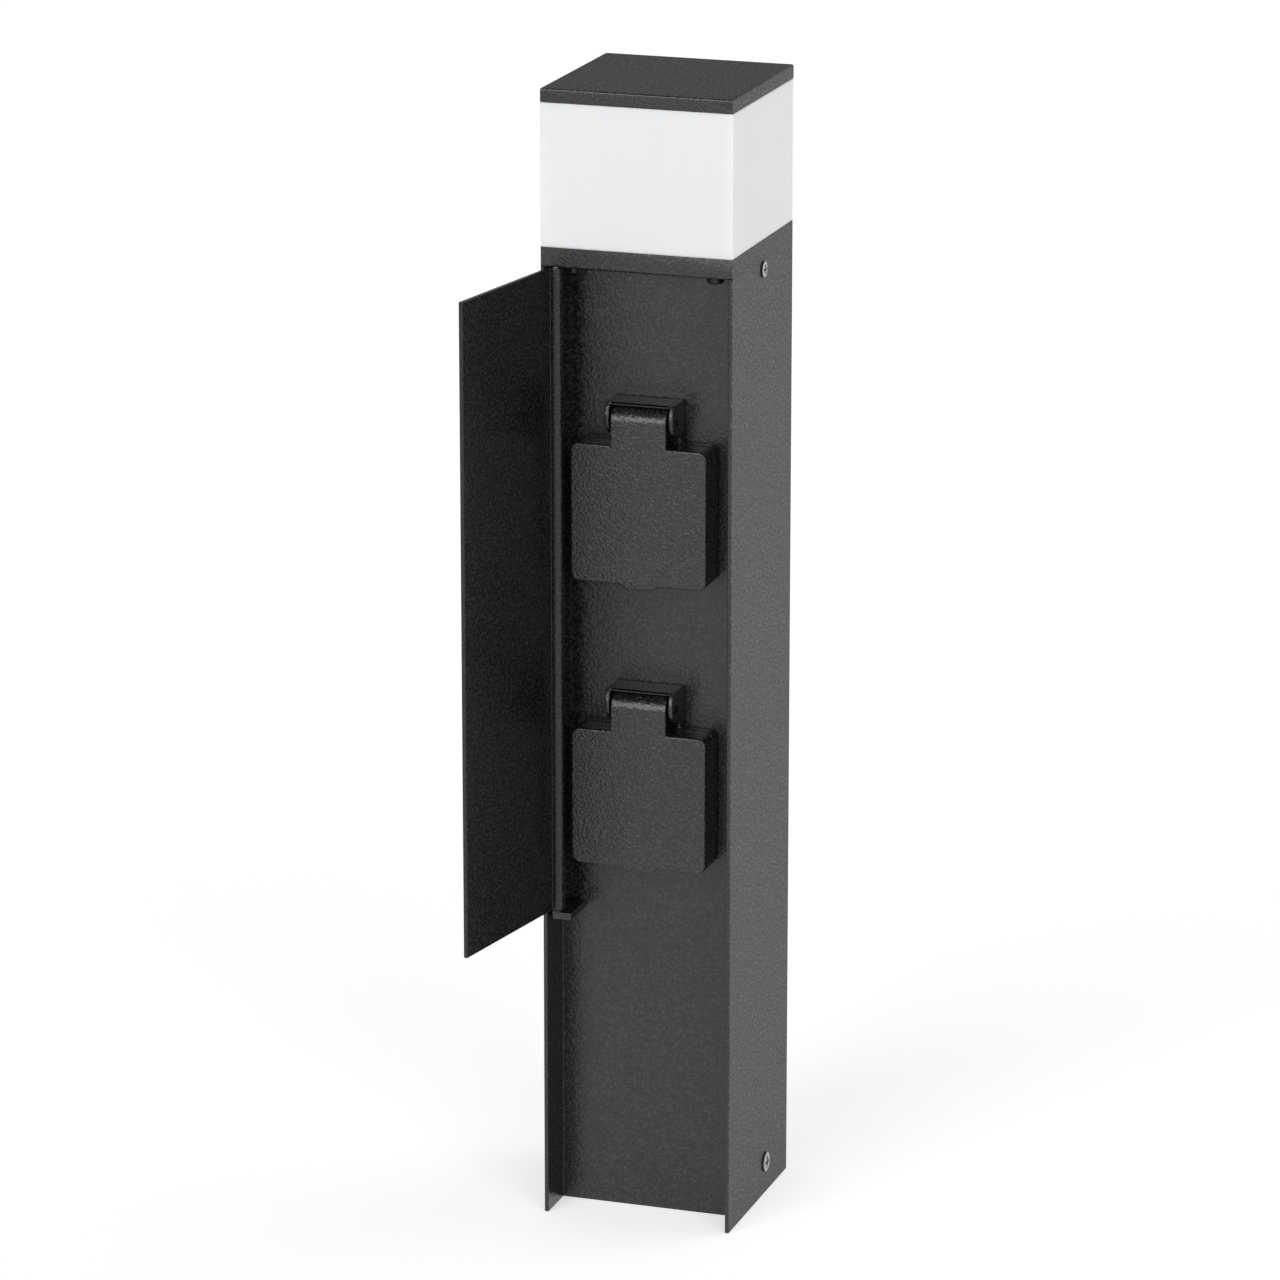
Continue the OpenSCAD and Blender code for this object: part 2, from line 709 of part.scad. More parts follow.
// Head ring on the profile, with its tongues, the door's upper bearing and the lamp's holes
module head_ring() {
    color(anthracite) {
        difference() {
            translate([0, 0, profile_len]) bevelled_slab(head_h, head_bevel, 0);
            translate([0, 0, head_top_z - seal_h]) seal_ring(tail_gap, seal_h + over);
            translate([0, 0, profile_len]) {
                four_xy(rod_x, rod_y) drill(rod_hole_r, head_h);
                translate([0, driver_y, 0]) drill(lead_hole_r, head_h);
                both_sides() translate([tray_screw_x, 0, head_h - tray_screw_in - over])
                    cylinder(r = flange_hole_r, h = head_h);
                translate([door_x, door_y, -over]) cylinder(r = door_bore_r, h = over + pin_up + pin_play);
            }
        }
        both_sides() tongue(0, profile_len - tongue_len, profile_len, head_screw_z, side_hole_r);
    }
}

// Pan-head screws through the side walls into the head's tongues
module head_screws() {
    color(zinc) both_sides() side_screw(0, head_screw_z, side_head_d, side_shank_d);
}

// Rubber cap over the right front rod's end, beside the opening
module rod_cap() {
    color(rubber) translate([rod_x, -rod_y, profile_len - rod_cap_h]) difference() {
        union() {
            translate([0, 0, rod_cap_bevel]) cylinder(d = rod_cap_d, h = rod_cap_h - rod_cap_bevel);
            cylinder(d1 = rod_cap_d - 2 * rod_cap_bevel, d2 = rod_cap_d, h = rod_cap_bevel);
        }
        translate([0, 0, rod_cap_h - rod_tip - screw_gap]) cylinder(r = rod_hole_r, h = rod_cap_h);
    }
}

// Threaded rods from under the head up into the cap, slotted at their lower ends
module tie_rods() {
    low_z = profile_len - rod_tip;
    color(zinc) four_xy(rod_x, rod_y) difference() {
        translate([0, 0, low_z]) cylinder(d = rod_d, h = diffuser_top_z + rod_in_cap - low_z);
        block([-rod_d, -rod_slot / 2, low_z - over], [rod_d, rod_slot / 2, low_z + rod_slot]);
    }
}

// Seal between the head and the diffuser
module lower_seal() {
    color(rubber) translate([0, 0, head_top_z - seal_h]) seal_ring(0, seal_h);
}

// Opal diffuser: four walls round the lamp
module diffuser() {
    color(opal) translate([0, 0, head_top_z]) linear_extrude(diffuser_h) difference() {
        square([post_w, post_d], center = true);
        square([post_w - 2 * diffuser_wall, post_d - 2 * diffuser_wall], center = true);
    }
}

// Seal between the diffuser and the cap
module upper_seal() {
    color(rubber) translate([0, 0, diffuser_top_z]) seal_ring(0, seal_h);
}

// Flat cap with bevelled upper edges
module top_cap() {
    color(anthracite) translate([0, 0, diffuser_top_z]) difference() {
        translate([0, 0, cap_h]) mirror([0, 0, 1]) bevelled_slab(cap_h, cap_bevel, cap_bevel);
        translate([0, 0, -over]) seal_ring(tail_gap, seal_h + over);
        four_xy(rod_x, rod_y) translate([0, 0, -over])
            cylinder(r = rod_hole_r, h = over + rod_in_cap + screw_gap);
    }
}

// Aluminium tray that spreads the LED board's heat into the head, notched round the rods
module led_tray() {
    color(zinc) translate([0, 0, head_top_z]) difference() {
        block([-tray_w / 2, -tray_d / 2, 0], [tray_w / 2, tray_d / 2, tray_t]);
        translate([0, driver_y, 0]) drill(lead_hole_r, tray_t);
        four_xy(rod_x, rod_y) drill(rod_hole_r, tray_t);
        both_sides() translate([tray_screw_x, 0, 0]) drill(flange_hole_r, tray_t);
    }
}

// Screws that hold the tray to the head
module tray_screws() {
    color(zinc) both_sides() translate([tray_screw_x, 0, head_top_z + tray_t])
        pan_screw(flange_head_d, flange_head_h, flange_shank_d, tray_t + tray_screw_in);
}

// LED board on the tray
module led_board() {
    half = board_w / 2;
    color(white_plastic) translate([0, 0, head_top_z + tray_t])
        block([-half, -half, 0], [half, half, board_t]);
}

// Square array of LED chips on the board
module led_chips() {
    first = -(chips_pitch * (chips_n - 1) + chip_w) / 2;
    color(phosphor) translate([first, first, head_top_z + tray_t + board_t])
        for (i = [0:chips_n - 1], j = [0:chips_n - 1])
            translate([i * chips_pitch, j * chips_pitch, 0]) cube([chip_w, chip_w, chip_h]);
}

// LED driver under the head
module led_driver() {
    color(white_plastic) translate([0, driver_y, 0])
        block([-driver_w / 2, -driver_d / 2, driver_low_z], [driver_w / 2, driver_d / 2, profile_len]);
}

// Lead from the driver through the head to the LED board
module lamp_lead() {
    color(grey_plastic) translate([0, driver_y, profile_len]) cylinder(d = lead_d, h = head_h + tray_t);
}

// Three stretches of a line wire: terminal to lower socket, on to the upper socket, and to the driver
module line_wire(x) {
    reach = contact_r + contact_gap;
    in_cover = clip_z - reach + wire_d;
    wire(x, terminal_y, terminal_top_z, wire_y, lower_z - reach, wire_d, in_cover);
    wire(x, wire_y, lower_z + reach, wire_y, upper_z - reach, in_cover, in_cover);
    wire(x, wire_y, upper_z + reach, wire_y, driver_low_z, in_cover, wire_d);
}

// Live wire
module live_wire() {
    color(live_brown) line_wire(-contact_x);
}

// Neutral wire
module neutral_wire() {
    color(neutral_blue) line_wire(contact_x);
}

// Earth wire: terminal, both earth clips, and the head ring
module earth_wire() {
    color(earth_green) {
        wire(0, terminal_y, terminal_top_z, wire_y, lower_z - earth_z, wire_d, wire_d);
        wire(0, wire_y, lower_z + earth_z, wire_y, upper_z - earth_z, wire_d, wire_d);
        wire(0, wire_y, upper_z + earth_z, earth_end_y, profile_len, wire_d, wire_d);
    }
}

// Carries a shape drawn closed about the door's axis to where the door stands open
module door_place() {
    translate([door_x, door_y, 0]) rotate([0, 0, -door_open]) children();
}

// Door panel with its round bead, bored for the pins
module door_panel() {
    color(anthracite) door_place() difference() {
        union() {
            translate([0, 0, door_low_z]) cylinder(d = bead_d, h = door_high_z - door_low_z);
            block([0, -bead_d / 2, door_low_z], [door_reach, -bead_d / 2 + door_t, door_high_z]);
        }
        translate([0, 0, door_low_z - over]) cylinder(d = pin_d + 2 * pin_seat, h = pin_in + over);
        translate([0, 0, door_high_z - pin_in]) cylinder(d = pin_d + 2 * pin_seat, h = pin_in + over);
    }
}

// Upper hinge pin, from the bead up into the head
module door_top_pin() {
    color(zinc) door_place() translate([0, 0, door_high_z - pin_in])
        cylinder(d = pin_d, h = pin_in + door_top_gap + pin_up);
}

// Lower hinge pin, from the bracket up into the bead
module door_bottom_pin() {
    color(zinc) door_place() translate([0, 0, bracket_z])
        cylinder(d = pin_d, h = door_low_z + pin_in - bracket_z);
}

// Outline of the hinge block in the flange's plane
module hinge_tongue(y0, y1) {
    block([-block_x, y0, 0], [block_x, y1, hinge_top_z]);
}

// One ear beside the lid's barrel, with a round front that the hinge block's top cuts off
module hinge_ear() {
    translate([ear_x, 0, 0]) {
        block([0, ear_y, ear_low_z], [ear_t, hinge_back_y, hinge_top_z]);
        intersection() {
            translate([ear_t / 2, ear_y, ear_low_z + ear_r]) bar_x(ear_r, ear_t);
            block([0, lid_front_y, ear_low_z], [ear_t, ear_y, hinge_top_z]);
        }
    }
}

// Socket body: flange, well with pin holes and guide ribs, and the lid's hinge block
module socket_body() {
    color(dark_plastic) difference() {
        union() {
            rounded_plate(lid_w, lid_r, flange_front_y, flange_back_y);
            bar_y(well_outer_r, rim_y, well_back_y);
            hinge_tongue(hinge_back_y, flange_back_y);
            block([-block_x, hinge_top_y, hinge_under_z], [block_x, flange_back_y, hinge_top_z]);
            both_sides() hinge_ear();
        }
        difference() {
            bar_y(well_r, rim_y - over, floor_y);
            both_sides() block([well_r - rib_h, rim_y + rib_h, -rib_w / 2],
                               [well_outer_r, floor_y + over, rib_w / 2]);
        }
        both_sides() translate([contact_x, 0, 0]) bar_y(pin_hole_d / 2, floor_y - over, well_back_y + over);
        for (side = [0, 1]) mirror([0, 0, side])
            block([-clip_w / 2 - clip_gap, floor_y - over, clip_z - clip_gap],
                  [clip_w / 2 + clip_gap, well_back_y + over, earth_z + clip_gap]);
        four_xz(flange_pitch) bar_y(flange_hole_r, flange_front_y - over, flange_back_y + over);
        translate([0, hinge_y, hinge_z]) bar_x(lid_pin_d / 2 + pin_seat, 2 * block_x + over);
    }
}

// Gasket between the flange and the web
module gasket() {
    color(rubber) difference() {
        union() {
            rounded_plate(lid_w, lid_r, flange_back_y, web_y);
            hinge_tongue(flange_back_y, web_y);
        }
        bar_y(well_outer_r + well_gap, flange_back_y - over, web_y + over);
        four_xz(flange_pitch) bar_y(flange_hole_r, flange_back_y - over, web_y + over);
    }
}

// Four screws through the flange into the web
module flange_screws() {
    color(zinc) four_xz(flange_pitch) translate([0, flange_front_y, 0]) rotate([90, 0, 0])
        pan_screw(flange_head_d, flange_head_h, flange_shank_d, flange_shank_l);
}

// Rear cover behind the well: shutter chamber in front, contact bores behind
module rear_cover() {
    color(grey_plastic) {
        difference() {
            intersection() {
                bar_y(well_outer_r - cover_step, well_back_y, cover_back_y);
                block([-well_outer_r, well_back_y, -clip_z], [well_outer_r, cover_back_y, clip_z]);
            }
            bar_y(chamber_r, well_back_y - over, chamber_y);
            both_sides() translate([contact_x, 0, 0]) {
                bar_y(contact_r + contact_gap, chamber_y - over, chamber_y + contact_len + contact_gap);
                translate([0, wire_y, 0])
                    cylinder(r = wire_d / 2 + contact_gap, h = 2 * clip_z + over, center = true);
            }
        }
        bar_y(shutter_post_r, well_back_y + shutter_gap / 2, chamber_y);
    }
}

// Two brass contacts that the plug's pins enter
module line_contacts() {
    color(brass) both_sides() translate([contact_x, 0, 0]) difference() {
        bar_y(contact_r, chamber_y, chamber_y + contact_len);
        bar_y(contact_r - contact_wall, chamber_y - over, chamber_y + contact_len - contact_wall);
    }
}

// Earth clip: a brass strap round the rear cover with a sprung tongue at the top and bottom of the well
module earth_clip() {
    clip_y = floor_y - clip_len;
    color(brass) {
        block([-clip_w / 2, cover_back_y, -earth_z], [clip_w / 2, cover_back_y + clip_t, earth_z]);
        for (side = [0, 1]) mirror([0, 0, side]) {
            block([-clip_w / 2, clip_y, clip_z], [clip_w / 2, cover_back_y + clip_t, earth_z]);
            translate([0, clip_y + 2 * clip_bead_r, clip_z]) bar_x(clip_bead_r, clip_w);
        }
    }
}

// Shutter: two blades on a hub, over the pin holes until both pins push it round
module shutter() {
    shutter_y = well_back_y + shutter_gap;
    color(white_plastic) difference() {
        union() {
            bar_y(shutter_hub_r, shutter_y, shutter_y + shutter_t);
            intersection() {
                bar_y(shutter_r, shutter_y, shutter_y + shutter_t);
                block([-shutter_r, shutter_y, -shutter_w / 2],
                      [shutter_r, shutter_y + shutter_t, shutter_w / 2]);
            }
        }
        bar_y(shutter_post_r + pin_play, shutter_y - over, shutter_y + shutter_t + over);
    }
}

// Spring that turns the shutter back
module shutter_spring() {
    low_y = well_back_y + shutter_gap + shutter_t + pin_play;
    high_y = chamber_y - pin_play;
    pitch = (high_y - low_y - shutter_wire) / shutter_coil_turns;
    echo(shutter_spring_gap = coil_gap(shutter_coil_r, pitch, shutter_wire));
    color(zinc) translate([0, (low_y + high_y) / 2, 0]) rotate([0, 0, 90])
        coil(shutter_coil_r, shutter_wire, pitch, shutter_coil_turns, 0, 0, 0);
}

// Lid: a shallow square cup with a finger tab below and a hinge arm above
module lid() {
    inside_w = lid_w - 2 * lid_t;
    half = lid_w / 2;
    pocket_w = lid_coil_pitch * lid_coil_turns + lid_wire + 2 * lid_coil_gap;
    color(dark_plastic) difference() {
        union() {
            difference() {
                rounded_plate(lid_w, lid_r, lid_front_y, lid_back_y);
                rounded_plate(inside_w, lid_r / 2, lid_inside_y, lid_back_y + over);
            }
            translate([0, lid_front_y + tab_d, -half]) rotate([90, 0, 0]) linear_extrude(tab_d)
                polygon([[-tab_root_w / 2, 0], [-tab_tip_w / 2, -tab_h],
                         [tab_tip_w / 2, -tab_h], [tab_root_w / 2, 0]]);
            block([-barrel_w / 2, lid_front_y, half - lid_t],
                  [barrel_w / 2, lid_front_y + barrel_r / 2, hinge_z]);
            translate([0, hinge_y, hinge_z]) bar_x(barrel_r, barrel_w);
        }
        translate([0, hinge_y, hinge_z]) {
            bar_x(lid_pin_d / 2 + pin_play, barrel_w + over);
            bar_x(lid_coil_r + lid_wire / 2 + lid_coil_gap, pocket_w);
            block([-pocket_w / 2, 0, -lid_wire], [pocket_w / 2, barrel_r + over, barrel_r + over]);
        }
    }
}

// Rubber ring on the lid's inside that closes on the well's rim
module lid_seal() {
    mid_r = well_r + well_wall / 2;
    color(rubber) difference() {
        bar_y(mid_r + lid_seal_w / 2, lid_inside_y, lid_inside_y + lid_seal_t);
        bar_y(mid_r - lid_seal_w / 2, lid_inside_y - over, lid_inside_y + lid_seal_t + over);
    }
}

// Pin that the lid turns on, flush with the ears
module lid_pin() {
    color(zinc) translate([0, hinge_y, hinge_z]) bar_x(lid_pin_d / 2, 2 * block_x);
}

// Spring that closes the lid: one leg on the hinge block's back, the other in the lid's barrel
module lid_spring() {
    leg_in = hinge_back_y - hinge_y - barrel_gap;
    echo(lid_spring_gap = coil_gap(lid_coil_r, lid_coil_pitch, lid_wire));
    color(zinc) translate([0, hinge_y, hinge_z])
        coil(lid_coil_r, lid_wire, lid_coil_pitch, lid_coil_turns + lid_coil_part, 90, leg_in, lid_coil_gap);
}

// Carries a socket's piece to the upper or the lower socket
module at_upper() {
    translate([0, 0, upper_z]) children();
}

module at_lower() {
    translate([0, 0, lower_z]) children();
}

post_profile();
base_foot();
cable_grommet();
base_screws();
terminal_block();
terminal_screws();
hinge_bracket();
thrust_washer();
head_ring();
head_screws();
rod_cap();
tie_rods();
lower_seal();
diffuser();
upper_seal();
top_cap();
led_tray();
tray_screws();
led_board();
led_chips();
led_driver();
lamp_lead();
live_wire();
neutral_wire();
earth_wire();
door_panel();
door_top_pin();
door_bottom_pin();
at_upper() socket_body();  // upper_socket_body
at_upper() gasket();  // upper_gasket
at_upper() flange_screws();  // upper_flange_screws
at_upper() rear_cover();  // upper_rear_cover
at_upper() line_contacts();  // upper_line_contacts
at_upper() earth_clip();  // upper_earth_clip
at_upper() shutter();  // upper_shutter
at_upper() shutter_spring();  // upper_shutter_spring
at_upper() lid();  // upper_lid
at_upper() lid_seal();  // upper_lid_seal
at_upper() lid_pin();  // upper_lid_pin
at_upper() lid_spring();  // upper_lid_spring
at_lower() socket_body();  // lower_socket_body
at_lower() gasket();  // lower_gasket
at_lower() flange_screws();  // lower_flange_screws
at_lower() rear_cover();  // lower_rear_cover
at_lower() line_contacts();  // lower_line_contacts
at_lower() earth_clip();  // lower_earth_clip
at_lower() shutter();  // lower_shutter
at_lower() shutter_spring();  // lower_shutter_spring
at_lower() lid();  // lower_lid
at_lower() lid_seal();  // lower_lid_seal
at_lower() lid_pin();  // lower_lid_pin
at_lower() lid_spring();  // lower_lid_spring
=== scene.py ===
"""Garden socket post: the finish of every piece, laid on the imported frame."""

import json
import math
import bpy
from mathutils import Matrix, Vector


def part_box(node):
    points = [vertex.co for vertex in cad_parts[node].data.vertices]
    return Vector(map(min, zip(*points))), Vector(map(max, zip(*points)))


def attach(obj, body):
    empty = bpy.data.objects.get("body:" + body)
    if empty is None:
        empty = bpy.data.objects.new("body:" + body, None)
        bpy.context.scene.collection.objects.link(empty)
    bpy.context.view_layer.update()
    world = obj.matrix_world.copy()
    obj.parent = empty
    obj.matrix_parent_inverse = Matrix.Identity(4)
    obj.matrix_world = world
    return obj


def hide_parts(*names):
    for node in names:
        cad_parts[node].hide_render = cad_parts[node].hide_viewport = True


bl_info = {
    "name": "Garden socket post",
    "version": (1, 0, 0),
    "blender": (4, 5, 0),
    "location": "View3D > Sidebar > Socket post",
    "description": "Finishes the pieces of a garden socket post and sets its stage",
    "category": "Object",
}

import bmesh
import bpy
from mathutils import Vector

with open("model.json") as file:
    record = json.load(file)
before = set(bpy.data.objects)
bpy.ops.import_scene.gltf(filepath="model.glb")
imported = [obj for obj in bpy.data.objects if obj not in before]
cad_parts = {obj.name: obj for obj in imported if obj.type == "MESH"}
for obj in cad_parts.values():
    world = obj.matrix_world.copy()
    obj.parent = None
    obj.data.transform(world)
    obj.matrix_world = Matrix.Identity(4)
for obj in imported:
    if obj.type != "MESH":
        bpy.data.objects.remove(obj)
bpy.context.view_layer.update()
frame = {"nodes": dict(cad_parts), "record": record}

MM = 0.001

# Two faces that meet at less than this are one rounded surface
SHARP = math.radians(30)
# Triangles closer to one plane than this are one flat face
FLAT = math.radians(0.5)
# Points closer than this are one point
WELD = 0.002 * MM

# Rows of faces across a rounded edge
EDGE_ROWS = 3

SIDES = ("upper", "lower")


def to_linear(code):
    """An sRGB hex colour as linear red, green and blue."""
    values = [int(code[i:i + 2], 16) / 255 for i in (1, 3, 5)]
    return tuple(v / 12.92 if v <= 0.04045 else ((v + 0.055) / 1.055) ** 2.4 for v in values)


def colour(label, code, about):
    """A colour that can be changed in the sidebar."""
    return bpy.props.FloatVectorProperty(
        name=label, description=about, subtype="COLOR", size=3, min=0, max=1, default=to_linear(code))


def length(label, millimetres, about):
    """A length that can be changed in the sidebar, given in millimetres."""
    return bpy.props.FloatProperty(
        name=label, description=about, unit="LENGTH", subtype="DISTANCE", min=0, default=millimetres * MM)


class SocketPostSizes(bpy.types.PropertyGroup):
    """Sizes of the finish and of small pieces, which the frame doesn't hold"""

    coat_edge: length("Coated edge", 0.32, "Radius of the powder-coated aluminium's edges")
    lid_edge: length("Lid edge", 0.7, "Radius of the edges round the lids' fronts")
    body_edge: length("Socket edge", 0.9, "Radius of the edges round the sockets' flanges")
    opal_edge: length("Diffuser edge", 0.5, "Radius of the diffuser's edges")
    coat_grain: length("Coat grain", 0.9, "Distance between the grains of the powder coat")
    plastic_grain: length("Plastic grain", 0.8, "Distance between the grains of the moulded plastic")
    side_head: length("Side screw head", 1.0, "Height of the side screws' heads")
    ring_rise: length("Sealing ring", 0.65, "Height of the rubber rings round the side screws' heads")
    ring_wall: length("Sealing ring wall", 0.12, "Wall of the rubber rings round the side screws' heads")
    flange_head: length("Flange screw head", 1.8, "Height of the flange and tray screws' heads")
    lid_wire: length("Lid spring wire", 0.76, "Diameter of the lid springs' wire")
    lid_coil: length("Lid spring radius", 2.5, "Mean radius of the lid springs")
    lid_pitch: length("Lid spring pitch", 1.3, "Distance between the turns of the lid springs")
    shutter_wire: length("Shutter spring wire", 0.5, "Diameter of the shutter springs' wire")
    shutter_coil: length("Shutter spring radius", 2.8, "Mean radius of the shutter springs")
    lid_turns: bpy.props.FloatProperty(
        name="Lid spring turns", description="Turns of the lid springs", min=1, default=6.25)
    shutter_turns: bpy.props.FloatProperty(
        name="Shutter spring turns", description="Turns of the shutter springs", min=1, default=3)
    chips: bpy.props.IntProperty(
        name="LED chips", description="LED chips along each side of the board", min=2, default=4)


class SocketPostColours(bpy.types.PropertyGroup):
    """Colours of the finishes"""

    coat: colour("Powder coat", "#0E0F10", "Anthracite of the aluminium pieces")
    coat_grit: colour("Powder coat grit", "#2E2F31", "Paler grains in the powder coat")
    # Painted glint: the outer sides, back and top get paler grit than the recess, standing in for the grit's
    # sparkle at a glancing angle
    coat_painted_side_glint: colour("Powder coat sides", "#626366", "Paler grains on the post's sides and back")
    plastic: colour("Socket plastic", "#0E0E0F", "Dark grey of the sockets and lids")
    plastic_grit: colour("Socket plastic grain", "#343436", "Paler grains in the sockets' plastic")
    opal: colour("Opal acrylic", "#F2F4F7", "White of the diffuser")
    zinc: colour("Zinc plate", "#A9AAAD", "Silver of the screws and pins")
    aluminium: colour("Aluminium", "#D2D3D4", "Mill finish of the LED tray")
    brass: colour("Brass", "#D8B566", "Yellow metal of the contacts")
    rubber: colour("Rubber", "#0E0E0F", "Black of the seals, the rod's cap and the screws' rings")
    grey: colour("Grey plastic", "#8F9296", "Grey of the rear covers and the lead")
    white: colour("White plastic", "#E6E6E2", "White of the inner plastic pieces")
    phosphor: colour("Phosphor", "#EBC84A", "Yellow of the LED chips")
    brown: colour("Live wire", "#5A3218", "Brown insulation")
    blue: colour("Neutral wire", "#2C5FB0", "Blue insulation")
    green: colour("Earth wire", "#3E8A2E", "Green of the two-coloured insulation")
    yellow: colour("Earth stripe", "#E3CF36", "Yellow of the two-coloured insulation")
    floor: colour("Floor", "#EDEDED", "Pale floor")


class SocketPostStage(bpy.types.PropertyGroup):
    """Camera and light"""

    azimuth: bpy.props.FloatProperty(
        name="Azimuth", description="How far the camera stands to the right of the front",
        subtype="ANGLE", default=math.radians(18.56))
    elevation: bpy.props.FloatProperty(
        name="Elevation", description="How far the camera stands above the horizon",
        subtype="ANGLE", default=math.radians(15.94))
    distance: length("Distance", 2221.1, "Distance of the camera from its target")
    target: bpy.props.FloatVectorProperty(
        name="Target", description="Point that the camera looks at", subtype="TRANSLATION",
        default=(-10.28 * MM, 0, 208.0 * MM))
    lens: bpy.props.FloatProperty(
        name="Lens", description="Focal length on a 36 mm wide sensor", unit="CAMERA", default=174.86)
    key: bpy.props.FloatProperty(
        name="Key light", description="Strength of the broad light from the front left", default=1.5)
    side: bpy.props.FloatProperty(
        name="Side light", description="Strength of the broad light from the front right", default=1.2)
    rear: bpy.props.FloatProperty(
        name="Rear light", description="Strength of the broad light from the right rear", default=1.05)
    room_front: bpy.props.FloatProperty(
        name="Front of the room", description="Level of the room's light from the front", default=0.1)
    room_rear: bpy.props.FloatProperty(
        name="Rear of the room", description="Level of the room's light from the rear", default=0.42)
    floor_lift: bpy.props.FloatProperty(
        name="Floor lift", description="What brings the bare floor up to white", default=0.53)


# What builds a node tree or a mesh

def add(tree, kind, inputs=None, **settings):
    """Adds a node with its settings, and sets or links its inputs. A list links each of its sockets."""
    node = tree.nodes.new(kind)
    for name, value in settings.items():
        setattr(node, name, value)
    for name, value in (inputs or {}).items():
        for item in value if isinstance(value, list) else [value]:
            if isinstance(item, bpy.types.NodeSocket):
                tree.links.new(item, node.inputs[name])
            else:
                node.inputs[name].default_value = item
    return node


def per(size):
    """Scale of a texture whose pattern repeats at this size."""
    return 1 / size


def rgba(values):
    """A colour with full opacity."""
    return (*values, 1)


def material(name, build):
    """The material of that name, built the first time that it is asked for."""
    found = bpy.data.materials.get(name)
    if found:
        return found
    made = bpy.data.materials.new(name)
    made.use_nodes = True
    made.node_tree.nodes.clear()
    shader = build(made.node_tree)
    add(made.node_tree, "ShaderNodeOutputMaterial", {"Surface": shader})
    made.diffuse_color = (0.5, 0.5, 0.5, 1)
    return made


def speckled(tree, dark, light, size, depth, strength):
    """Fine grain: a colour that varies by grain, the grain's height as a bump, and the grain itself."""
    place = add(tree, "ShaderNodeTexCoord").outputs["Object"]
    grain = add(tree, "ShaderNodeTexNoise",
                {"Vector": place, "Scale": per(size), "Detail": 1, "Roughness": 0.5}).outputs["Fac"]
    lift = add(tree, "ShaderNodeMapRange", {0: grain, 1: 0.45, 2: 0.75}).outputs[0]
    tone = add(tree, "ShaderNodeMix", {0: lift, 6: rgba(dark), 7: rgba(light)}, data_type="RGBA").outputs[2]
    normal = add(tree, "ShaderNodeBump",
                 {"Height": grain, "Strength": strength, "Distance": depth}).outputs["Normal"]
    return tone, normal, lift


# Finishes

def coat_skin(tree):
    """The powder coat's colour, bump, grain and roughness."""
    hues = bpy.context.scene.socket_post_colours
    size = bpy.context.scene.socket_post_sizes.coat_grain
    tone, normal, lift = speckled(tree, hues.coat, hues.coat_grit, size, 0.12 * MM, 1)
    rough = add(tree, "ShaderNodeMapRange", {0: lift, 3: 0.26, 4: 0.34}).outputs[0]
    return tone, normal, lift, rough


def powder_coat():
    """Fine-texture polyester powder coat, sprayed and baked: a near-black skin whose grit glints.
    The real grit is about 0.2 mm; it is drawn coarser, so that it shows."""
    def build(tree):
        tone, normal, _, rough = coat_skin(tree)
        return add(tree, "ShaderNodeBsdfPrincipled", {
            "Base Color": tone, "Roughness": rough, "Normal": normal,
            "Specular IOR Level": 0.45}).outputs[0]
    return material("Textured powder coat", build)


def outdoor_coat():
    """The same coat on the post: duller on its sides, back and top, which the spray hits squarely.
    Their grit is paler than in the recess; that paleness is painted glint, for the grit's sparkle at a
    glancing angle."""
    hues = bpy.context.scene.socket_post_colours
    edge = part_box("post_profile")[1][0]
    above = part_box("top_cap")[1][2] - edge
    fade = 0.4 * MM
    dull = 0.58

    def build(tree):
        tone, normal, lift, shine = coat_skin(tree)
        place = add(tree, "ShaderNodeSeparateXYZ", {
            0: add(tree, "ShaderNodeTexCoord").outputs["Object"]}).outputs
        side = add(tree, "ShaderNodeMath", {0: place["X"]}, operation="ABSOLUTE").outputs[0]
        around = add(tree, "ShaderNodeMath", {0: side, 1: place["Y"]}, operation="MAXIMUM").outputs[0]
        upward = add(tree, "ShaderNodeMath", {0: place["Z"], 1: above}, operation="SUBTRACT").outputs[0]
        reach = add(tree, "ShaderNodeMath", {0: around, 1: upward}, operation="MAXIMUM").outputs[0]
        outer = add(tree, "ShaderNodeMapRange", {
            0: reach, 1: edge - fade, 2: edge}).outputs[0]
        rough = add(tree, "ShaderNodeMix", {0: outer, 2: shine, 3: dull}).outputs[0]
        # Painted glint: paler grit on the outer faces stands in for the grit's sparkle where they are seen at
        # a glancing angle
        pale = add(tree, "ShaderNodeMix", {
            0: lift, 6: rgba(hues.coat), 7: rgba(hues.coat_painted_side_glint)}, data_type="RGBA").outputs[2]
        skin = add(tree, "ShaderNodeMix", {0: outer, 6: tone, 7: pale}, data_type="RGBA").outputs[2]
        return add(tree, "ShaderNodeBsdfPrincipled", {
            "Base Color": skin, "Roughness": rough, "Normal": normal,
            "Specular IOR Level": 0.6}).outputs[0]
    return material("Textured powder coat, outdoor sides", build)


def socket_plastic():
    """Polyamide, injection moulded in a spark-eroded tool: a near-black skin with a fine, satin grain.
    The real grain is about 0.3 mm; it is drawn coarser, so that it shows."""
    size = bpy.context.scene.socket_post_sizes.plastic_grain
    hues = bpy.context.scene.socket_post_colours

    def build(tree):
        tone, normal, lift = speckled(tree, hues.plastic, hues.plastic_grit, size, 0.19 * MM, 1)
        rough = add(tree, "ShaderNodeMapRange", {0: lift, 3: 0.22, 4: 0.3}).outputs[0]
        return add(tree, "ShaderNodeBsdfPrincipled", {
            "Base Color": tone, "Roughness": rough, "Normal": normal,
            "Specular IOR Level": 0.6}).outputs[0]
    return material("Moulded polyamide", build)


